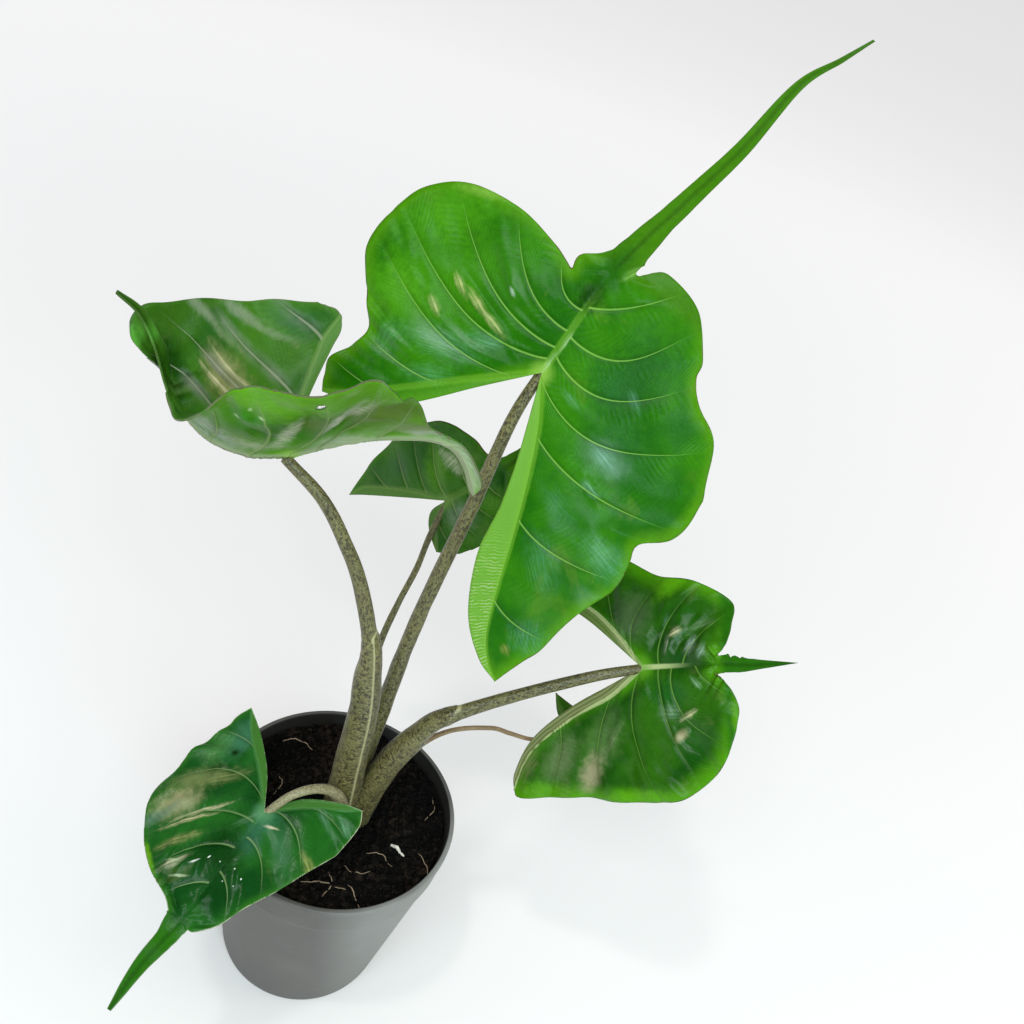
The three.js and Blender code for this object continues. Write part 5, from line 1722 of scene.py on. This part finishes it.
# %% Build the pot
def build_pot(made_material):
    """The wall and the floor's middle turned about the axis, with eight patches round holes."""
    neck = POT_RIM_RADIUS - LIP
    lip_z = POT_HEIGHT - LIP_HEIGHT
    foot = (POT_BASE_RADIUS - BASE_ROUND, BASE_ROUND)
    outside = [(SECTOR_OUT, 0)] + arc(foot, BASE_ROUND, -90, -10)
    outside += [(wall_radius(z), z) for z in np.linspace(4, SHOULDER_Z, 40)]
    outside += [(SHOULDER_RADIUS + 1, SHOULDER_Z + 1.4), (SHOULDER_RADIUS + 1.1, SHOULDER_Z + 2)]
    outside += [(neck - 0.2, lip_z - 1.2), (neck, lip_z - 0.6)]
    outside += arc((POT_RIM_RADIUS - 0.7, lip_z + 0.3), 0.7, -80, 0)
    outside += arc((POT_RIM_RADIUS - 0.8, POT_HEIGHT - 0.8), 0.8, 0, 90)
    inside = [(neck - POT_WALL + 0.4, POT_HEIGHT), (neck - POT_WALL, POT_HEIGHT - 0.4)]
    inside += [(SHOULDER_RADIUS + 1 - POT_WALL, SHOULDER_Z + 1.8)]
    inside += [(SHOULDER_RADIUS - POT_WALL, SHOULDER_Z + 0.4)]
    wall = np.linspace(SHOULDER_Z - 2, POT_FLOOR + 1.2, 12)
    inside += [(wall_radius(z) - POT_WALL, z) for z in wall]
    inside += [(POT_BASE_RADIUS - POT_WALL - 1.2, POT_FLOOR), (SECTOR_OUT, POT_FLOOR)]
    parts = [
        (lathe(outside + inside, POT_SIDES), True),
        (lathe([(0, 0), (SECTOR_IN, 0)], POT_SIDES), True),
        (lathe([(0, POT_FLOOR), (SECTOR_IN, POT_FLOOR)], POT_SIDES), False),
    ]
    for number in range(HOLES):
        low, high = hole_patch(0, number), hole_patch(POT_FLOOR, number)
        parts += [(low, True), (high, False), (np.stack([low[0], high[0]]), True)]
    points, faces = weld_parts(parts)
    return make_piece("pot_shell", points, faces, [made_material])


print("drain holes:", HOLES)

# %% [markdown]
# The plastic is satin grey with a moulded grain. It isn't clean: dust lies in soft clouds
# and scuffs run round it. One side has a painted highlight, and the inside near the rim painted
# shade.

# %% Pot plastic
def pot_plastic():
    """Satin grey plastic: a fine moulded grain, dusty smears and a few thin scuffs."""
    made_material, tree, shader = material("nursery_plastic")
    place = node(tree, "ShaderNodeTexCoord", out="Object")
    dust = cloud(tree, place, 35, 4.0, 0.6)
    grain = cloud(tree, place, 2600, 2.0)
    drawn = node(tree, "ShaderNodeMapping", {"Vector": place, "Scale": (60, 60, 700)})
    scuff = ramp(tree, cloud(tree, drawn, 1.0, 5.0, 0.7), 0.62, 0.75)
    colour = blend(tree, ramp(tree, dust, 0.4, 0.75), srgb(77, 75, 72), srgb(91, 89, 85))
    colour = paint(tree, colour, scuff, 0.35, srgb(126, 124, 120))
    # painted highlight: the side facing the light is made paler, mixed with the dust
    lit_side = {0: place, 1: (0.9, -0.44, 0)}
    facing = node(tree, "ShaderNodeVectorMath", lit_side, out="Value", operation="DOT_PRODUCT")
    side_highlight = calc(tree, "MULTIPLY", ramp(tree, facing, 0.034, 0.056), calc(tree, "ADD", dust, 0.3))
    colour = blend(tree, side_highlight, colour, srgb(128, 130, 126))
    flat_place = node(tree, "ShaderNodeVectorMath", {0: place, 1: (1, 1, 0)}, operation="MULTIPLY")
    radius = node(tree, "ShaderNodeVectorMath", {0: flat_place}, out="Value", operation="LENGTH")
    height = node(tree, "ShaderNodeSeparateXYZ", {0: place}, out=2)
    # painted shade: the inside of the wall near the rim is made nearly black
    inside = ramp(tree, radius, 0.0576, 0.0579, flip=True)
    inner_wall_shade = calc(tree, "MULTIPLY", inside, ramp(tree, height, 0.096, 0.098))
    colour = paint(tree, colour, inner_wall_shade, 0.9, srgb(16, 15, 12))
    tree.links.new(colour, shader.inputs["Base Color"])
    rough = calc(tree, "ADD", calc(tree, "MULTIPLY", dust, 0.3), 0.34)
    tree.links.new(rough, shader.inputs["Roughness"])
    height = calc(tree, "ADD", grain, calc(tree, "MULTIPLY", scuff, 0.4))
    raise_relief(tree, shader, height, 0.25, 0.1)
    return made_material


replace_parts(build_pot(pot_plastic()), "pot")

# %% [markdown]
# ## The soil
# Peat soil is a heap of crumbs of every size. Its surface is a disc lifted by several
# layers of random bumps, on a plug that fills the pot, and loose crumbs lie on it.

# %% Soil
SOIL_TOP, SOIL_EDGE_DROP, SOIL_CRUMB, GAP = 106, 1.5, 1.6, 0.3
SOIL_RINGS, SOIL_SIDES = 130, 300


def crumb_height(x, y):
    """The two broad waves of the packed soil, and finer random lumps on top of them."""
    coarse = np.sin(0.19 * x + 1.3) * np.cos(0.23 * y - 0.4)
    fine = np.sin(0.71 * x - 0.5 * y) * np.cos(0.64 * y + 0.37 * x + 2)
    lumps = 0.9 * noise(x / 3.1 + 20, y / 3.1 + 20, 71)
    lumps = lumps + 0.5 * noise(x / 1.4 + 30, y / 1.4 + 20, 72)
    grains = 0.3 * noise(x / 0.7 + 30, y / 0.7 + 30, 73)
    return SOIL_CRUMB * (0.7 * coarse + 0.5 * fine) + lumps + grains


def plug_radius(z):
    """The soil's radius: the wall's less its thickness and a gap on both sides."""
    return wall_radius(z) - POT_WALL - 2 * GAP


def build_soil(made_material):
    """A turned plug, whose top rings are lifted by crumb_height at each of their points."""
    foot = POT_FLOOR + GAP
    wide, edge = plug_radius(foot), plug_radius(SOIL_TOP)
    skirt = [(0, foot), (wide - BASE_ROUND, foot), (wide, foot + BASE_ROUND)]
    skirt += [(plug_radius(SHOULDER_Z), SHOULDER_Z), (edge, SOIL_TOP - SOIL_EDGE_DROP)]
    top = [(edge * share, SOIL_TOP) for share in np.linspace(1, 0, SOIL_RINGS + 1)[1:]]
    grid = lathe(skirt + top, SOIL_SIDES)
    lid = grid[len(skirt):]
    lid[..., 2] += crumb_height(lid[..., 0], lid[..., 1])
    points, faces = weld_parts([(grid, True)])
    return make_piece("soil_plug", points, faces, [made_material])


print("radius of the soil at its top:", round(float(plug_radius(SOIL_TOP)), 1), "mm")

# %% [markdown]
# Loose crumbs hide that the surface is one sheet. A crumb is a ball of twelve points, the
# corners of three golden rectangles, and the same ball is copied, knocked and turned with
# numpy 1,800 times, which is far faster than 1,800 objects.

# %% Crumbs
def crumbs(name, count, size, seed, made_material):
    """Copies of a 20-faced ball, each knocked out of shape and turned, on the soil. A random
    share to the power 3 sets the size, so that most are small."""
    rng = np.random.default_rng(seed)
    golden = (1 + 5**0.5) / 2
    ball = np.array([(s, t * golden, 0) for s in (-1, 1) for t in (-1, 1)], float)
    ball = np.vstack([ball, ball[:, [2, 0, 1]], ball[:, [1, 2, 0]]]) / np.hypot(1, golden)
    near_enough = 1.1
    close = np.linalg.norm(ball[:, None] - ball[None], axis=-1) < near_enough
    i, j, k = np.array([
        (a, b, c) for a in range(12) for b in range(a) for c in range(b)
        if close[a, b] and close[b, c] and close[a, c]
    ]).T
    outward = np.einsum("ij,ij->i", np.cross(ball[j] - ball[i], ball[k] - ball[i]), ball[i]) > 0
    ball_faces = np.where(outward[:, None], np.stack([i, j, k], -1), np.stack([i, k, j], -1))
    radius = (plug_radius(SOIL_TOP) - 1.5) * np.sqrt(rng.uniform(0, 1, count))
    angle = rng.uniform(0, 2 * np.pi, count)
    x, y = radius * np.cos(angle), radius * np.sin(angle)
    scale = size[0] + (size[1] - size[0]) * rng.uniform(0, 1, (count, 1, 1)) ** 3
    shape = ball * rng.uniform(0.6, 1.2, (count, 12, 1)) * rng.uniform(0.6, 1.2, (count, 1, 3))
    turns = np.linalg.qr(rng.normal(size=(count, 3, 3)))[0]
    turns *= np.sign(np.linalg.det(turns))[:, None, None]
    shape = np.einsum("nij,nkj->nki", turns, shape) * scale
    centre = np.stack([x, y, SOIL_TOP + crumb_height(x, y) + 0.2 * scale[:, 0, 0]], -1)
    points = (shape + centre[:, None]).reshape(-1, 3)
    faces = (ball_faces[None] + 12 * np.arange(count)[:, None, None]).reshape(-1, 3)
    return make_piece(name, points, faces, [made_material])


print("each crumb: 12 points and 20 triangles")

# %% [markdown]
# Damp peat is nearly black, with lighter dry crumbs and pale specks. Two noises multiplied
# give clumps in some places and bare dark soil in others, and small cells give it grain.

# %% Soil colour, and both pieces of it
def soil_earth(name, dark, light, speck):
    """Damp peat: dark clumps, lighter dry crumbs and pale specks."""
    made_material, tree, shader = material(name)
    place = node(tree, "ShaderNodeTexCoord", out="Object")
    clump = cloud(tree, place, 330, 4.0, 0.7)
    clump = calc(tree, "MULTIPLY", clump, calc(tree, "ADD", cloud(tree, place, 40, 3.0), 0.5))
    colour = blend(tree, ramp(tree, clump, 0.46, 0.72), srgb(*dark), srgb(*light))
    specks = ramp(tree, cloud(tree, place, 1500, 2.0), 0.68, 0.74)
    colour = paint(tree, colour, specks, 0.6, srgb(*speck))
    tree.links.new(colour, shader.inputs["Base Color"])
    height = node(tree, "ShaderNodeTexVoronoi", {"Vector": place, "Scale": 700})
    raise_relief(tree, shader, height, 0.8, 0.8)
    shader.inputs["Roughness"].default_value = 0.9
    shader.inputs["Specular IOR Level"].default_value = 0.15
    return made_material


earth = soil_earth("potting_earth", (3, 2, 1), (34, 25, 18), (96, 84, 66))
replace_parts(build_soil(earth), "soil")
crumbs("soil_crumbs", 1800, (0.5, 1.9), 81, earth)

# %% [markdown]
# Peat also holds pale root fibres and a few white splinters. Each is a thin tube with six
# sides on a curve that lies on the soil, so they are as cheap as they are small.

# %% Fibres in the soil
FIBRES = [
    ((-2, -44), (8, -40), (19, -41), 0.35), ((19, -38), (25, -43), (29, -47), 0.3),
    ((8, -34), (12, -40), (10, -47), 0.3), ((-40, 28), (-32, 33), (-24, 31), 0.35),
    ((37, 50), (39, 45), (42, 41), 0.5), ((46, -8), (52, -14), (55, -22), 0.25),
    ((-20, -8), (-16, -14), (-18, -20), 0.25), ((22, -18), (30, -16), (36, -20), 0.25),
    ((44, 12), (47, 20), (44, 27), 0.25), ((-34, 8), (-30, 2), (-32, -5), 0.25),
    ((14, -28), (20, -30), (27, -27), 0.25), ((-12, 42), (-4, 46), (5, 45), 0.3),
]
SPLINTER = ((31, -8), (35, -9), (40, -11), 0.9)
FIBRE_RINGS, FIBRE_SIDES = 14, 6


def build_fibres(name, strands, made_material, lift):
    """Tubes of six sides on curves through three points, held just above the crumbs."""
    points, faces, count = [], [], 0
    angle = np.linspace(0, 2 * np.pi, FIBRE_SIDES + 1)[:-1]
    for *marks, radius in strands:
        line = Line([(x, y, 0) for x, y in marks]).share(np.linspace(0, 1, FIBRE_RINGS))
        hover = lift * (1 + np.sin(np.linspace(0, 6, FIBRE_RINGS)))
        line[:, 2] = SOIL_TOP + crumb_height(line[:, 0], line[:, 1]) + hover
        across, up = frames_along(line)
        taper = radius * (1 - 0.5 * np.linspace(-1, 1, FIBRE_RINGS) ** 2)[:, None, None]
        tube, tube_faces = closed_tube(rings_on(line, taper, across, up, angle))
        points.append(tube)
        faces.append(tube_faces + count)
        count += len(tube)
    return make_piece(name, np.vstack(points), np.vstack(faces), [made_material])


def plain(name, colour, roughness):
    """A plain fibre: its colour wanders a little along it."""
    made_material, tree, shader = material(name)
    place = node(tree, "ShaderNodeTexCoord", out="Object")
    darker = srgb(*[0.7 * v for v in colour])
    colour = blend(tree, cloud(tree, place, 300, 3.0), darker, srgb(*colour))
    tree.links.new(colour, shader.inputs["Base Color"])
    shader.inputs["Roughness"].default_value = roughness
    return made_material


build_fibres("soil_fibres", FIBRES, plain("root_fibre", (150, 128, 104), 0.8), 0.6)
build_fibres("soil_splinter", [SPLINTER], plain("white_splinter", (226, 220, 204), 0.7), 0.5)

# %% [markdown]
# ## Floor, light and camera
# A wide pale floor stands for the plain background. A soft light from all round lights the
# plant, but mirror-like rays see it dimmed: a real room is darker than its window, and the
# leaves stay deep green where they don't face it. A broad window gives the sheen, and a
# small lamp the sharp glints. The camera was solved from the pot's ellipses.

# %% Stage
FLOOR_RADIUS = 40


def build_floor():
    """A disc, in metres, whose paper grows paler away from the pot, outside the part."""
    profile = [(0, 0), (1, 0), (FLOOR_RADIUS, 0)]
    points, faces = weld_parts([(lathe(profile, 96), False)])
    mesh = bpy.data.meshes.new("floor")
    mesh.from_pydata(points.tolist(), [], faces.tolist())
    mesh.shade_smooth()
    floor = bpy.data.objects.new("floor", mesh)
    bpy.context.scene.collection.objects.link(floor)
    pale, tree, shader = material("floor_paper")
    place = node(tree, "ShaderNodeTexCoord", out="Object")
    away = node(tree, "ShaderNodeVectorMath", {0: place}, out="Value", operation="LENGTH")
    colour = blend(tree, ramp(tree, away, 0.2, 2.2), (0.66, 0.645, 0.64, 1), (0.97, 0.95, 0.945, 1))
    tree.links.new(colour, shader.inputs["Base Color"])
    shader.inputs["Roughness"].default_value = 0.9
    shader.inputs["Emission Color"].default_value = (1, 1, 1, 1)
    shader.inputs["Emission Strength"].default_value = 0.1
    mesh.materials.append(pale)


def area_light(name, place, target, size, power, colour):
    """A lamp of so many metres by so many, and so many watts, that faces its target."""
    lamp = bpy.data.lights.new(name, "AREA")
    lamp.shape, lamp.size, lamp.size_y, lamp.energy, lamp.color = "RECTANGLE", *size, power, colour
    light = bpy.data.objects.new(name, lamp)
    light.location = place
    light.rotation_euler = (Vector(target) - Vector(place)).to_track_quat("-Z", "Y").to_euler()
    bpy.context.scene.collection.objects.link(light)


build_floor()
print("floor:", 2 * FLOOR_RADIUS, "m across")

# %% [markdown]
# The world lights the leaves from all round with a pale sky. A light path node tells a
# glossy ray from the others, and such a ray sees only a twentieth as much of the sky.

# %% Sky and lamps
world = bpy.data.worlds.new("studio")
world.use_nodes = True
sky = world.node_tree
rays = node(sky, "ShaderNodeLightPath", out="Is Camera Ray").node.outputs
strength = calc(sky, "SUBTRACT", 0.78, calc(sky, "MULTIPLY", rays["Is Glossy Ray"], 0.73))
strength = calc(sky, "ADD", strength, calc(sky, "MULTIPLY", rays["Is Camera Ray"], 0.1))
background = sky.nodes["Background"]
background.inputs["Color"].default_value = (0.97, 0.98, 1.0, 1)
sky.links.new(strength, background.inputs["Strength"])
bpy.context.scene.world = world
area_light("window", (0.0, -1.25, 1.65), (0, 0, 0.3), (1.7, 0.6), 24, (0.87, 0.98, 1.0))
area_light("side_window", (0.9, -1.2, 0.85), (0, 0, 0.35), (0.45, 0.7), 8, (0.66, 0.98, 1.0))
area_light("lamp", (-0.45, -0.5, 1.9), (-0.03, -0.05, 0.14), (0.12, 0.12), 5, (1.0, 0.98, 0.95))
area_light("warm_wall", (1.7, 0.3, 0.9), (0, 0, 0.3), (0.8, 0.8), 5, (1.0, 0.88, 0.7))
bpy.context.scene.view_settings.view_transform = "Standard"
print("lamps:", ", ".join(lamp.name for lamp in bpy.data.lights))

# %% [markdown]
# The camera's place and directions were worked out once from the two ellipses of the pot
# and are kept as plain numbers. An image's right and up and the way back from it make up
# the three columns of the camera's rotation.

# %% Camera
CAMERA_PLACE = Vector((0.0327, -0.3200, 0.5323))
IMAGE_RIGHT = Vector((0.9412, 0.1908, 0.2787))
IMAGE_UP = Vector((-0.3378, 0.5318, 0.7766))
FIELD_OF_VIEW = 54

camera_data = bpy.data.cameras.new("camera")
camera_data.sensor_width = 36
camera_data.angle = np.radians(FIELD_OF_VIEW)
camera = bpy.data.objects.new("camera", camera_data)
turn = Matrix((IMAGE_RIGHT, IMAGE_UP, IMAGE_RIGHT.cross(IMAGE_UP))).transposed()
camera.matrix_world = Matrix.Translation(CAMERA_PLACE) @ turn.to_4x4()
bpy.context.scene.collection.objects.link(camera)
bpy.context.scene.camera = camera
print(f"camera {CAMERA_PLACE.length:.2f} m from the middle of the pot's base")

# %% Sizes, and the end
total = sum(len(piece.data.polygons) for piece in made)
print(f"{len(made)} pieces, {total} triangles")
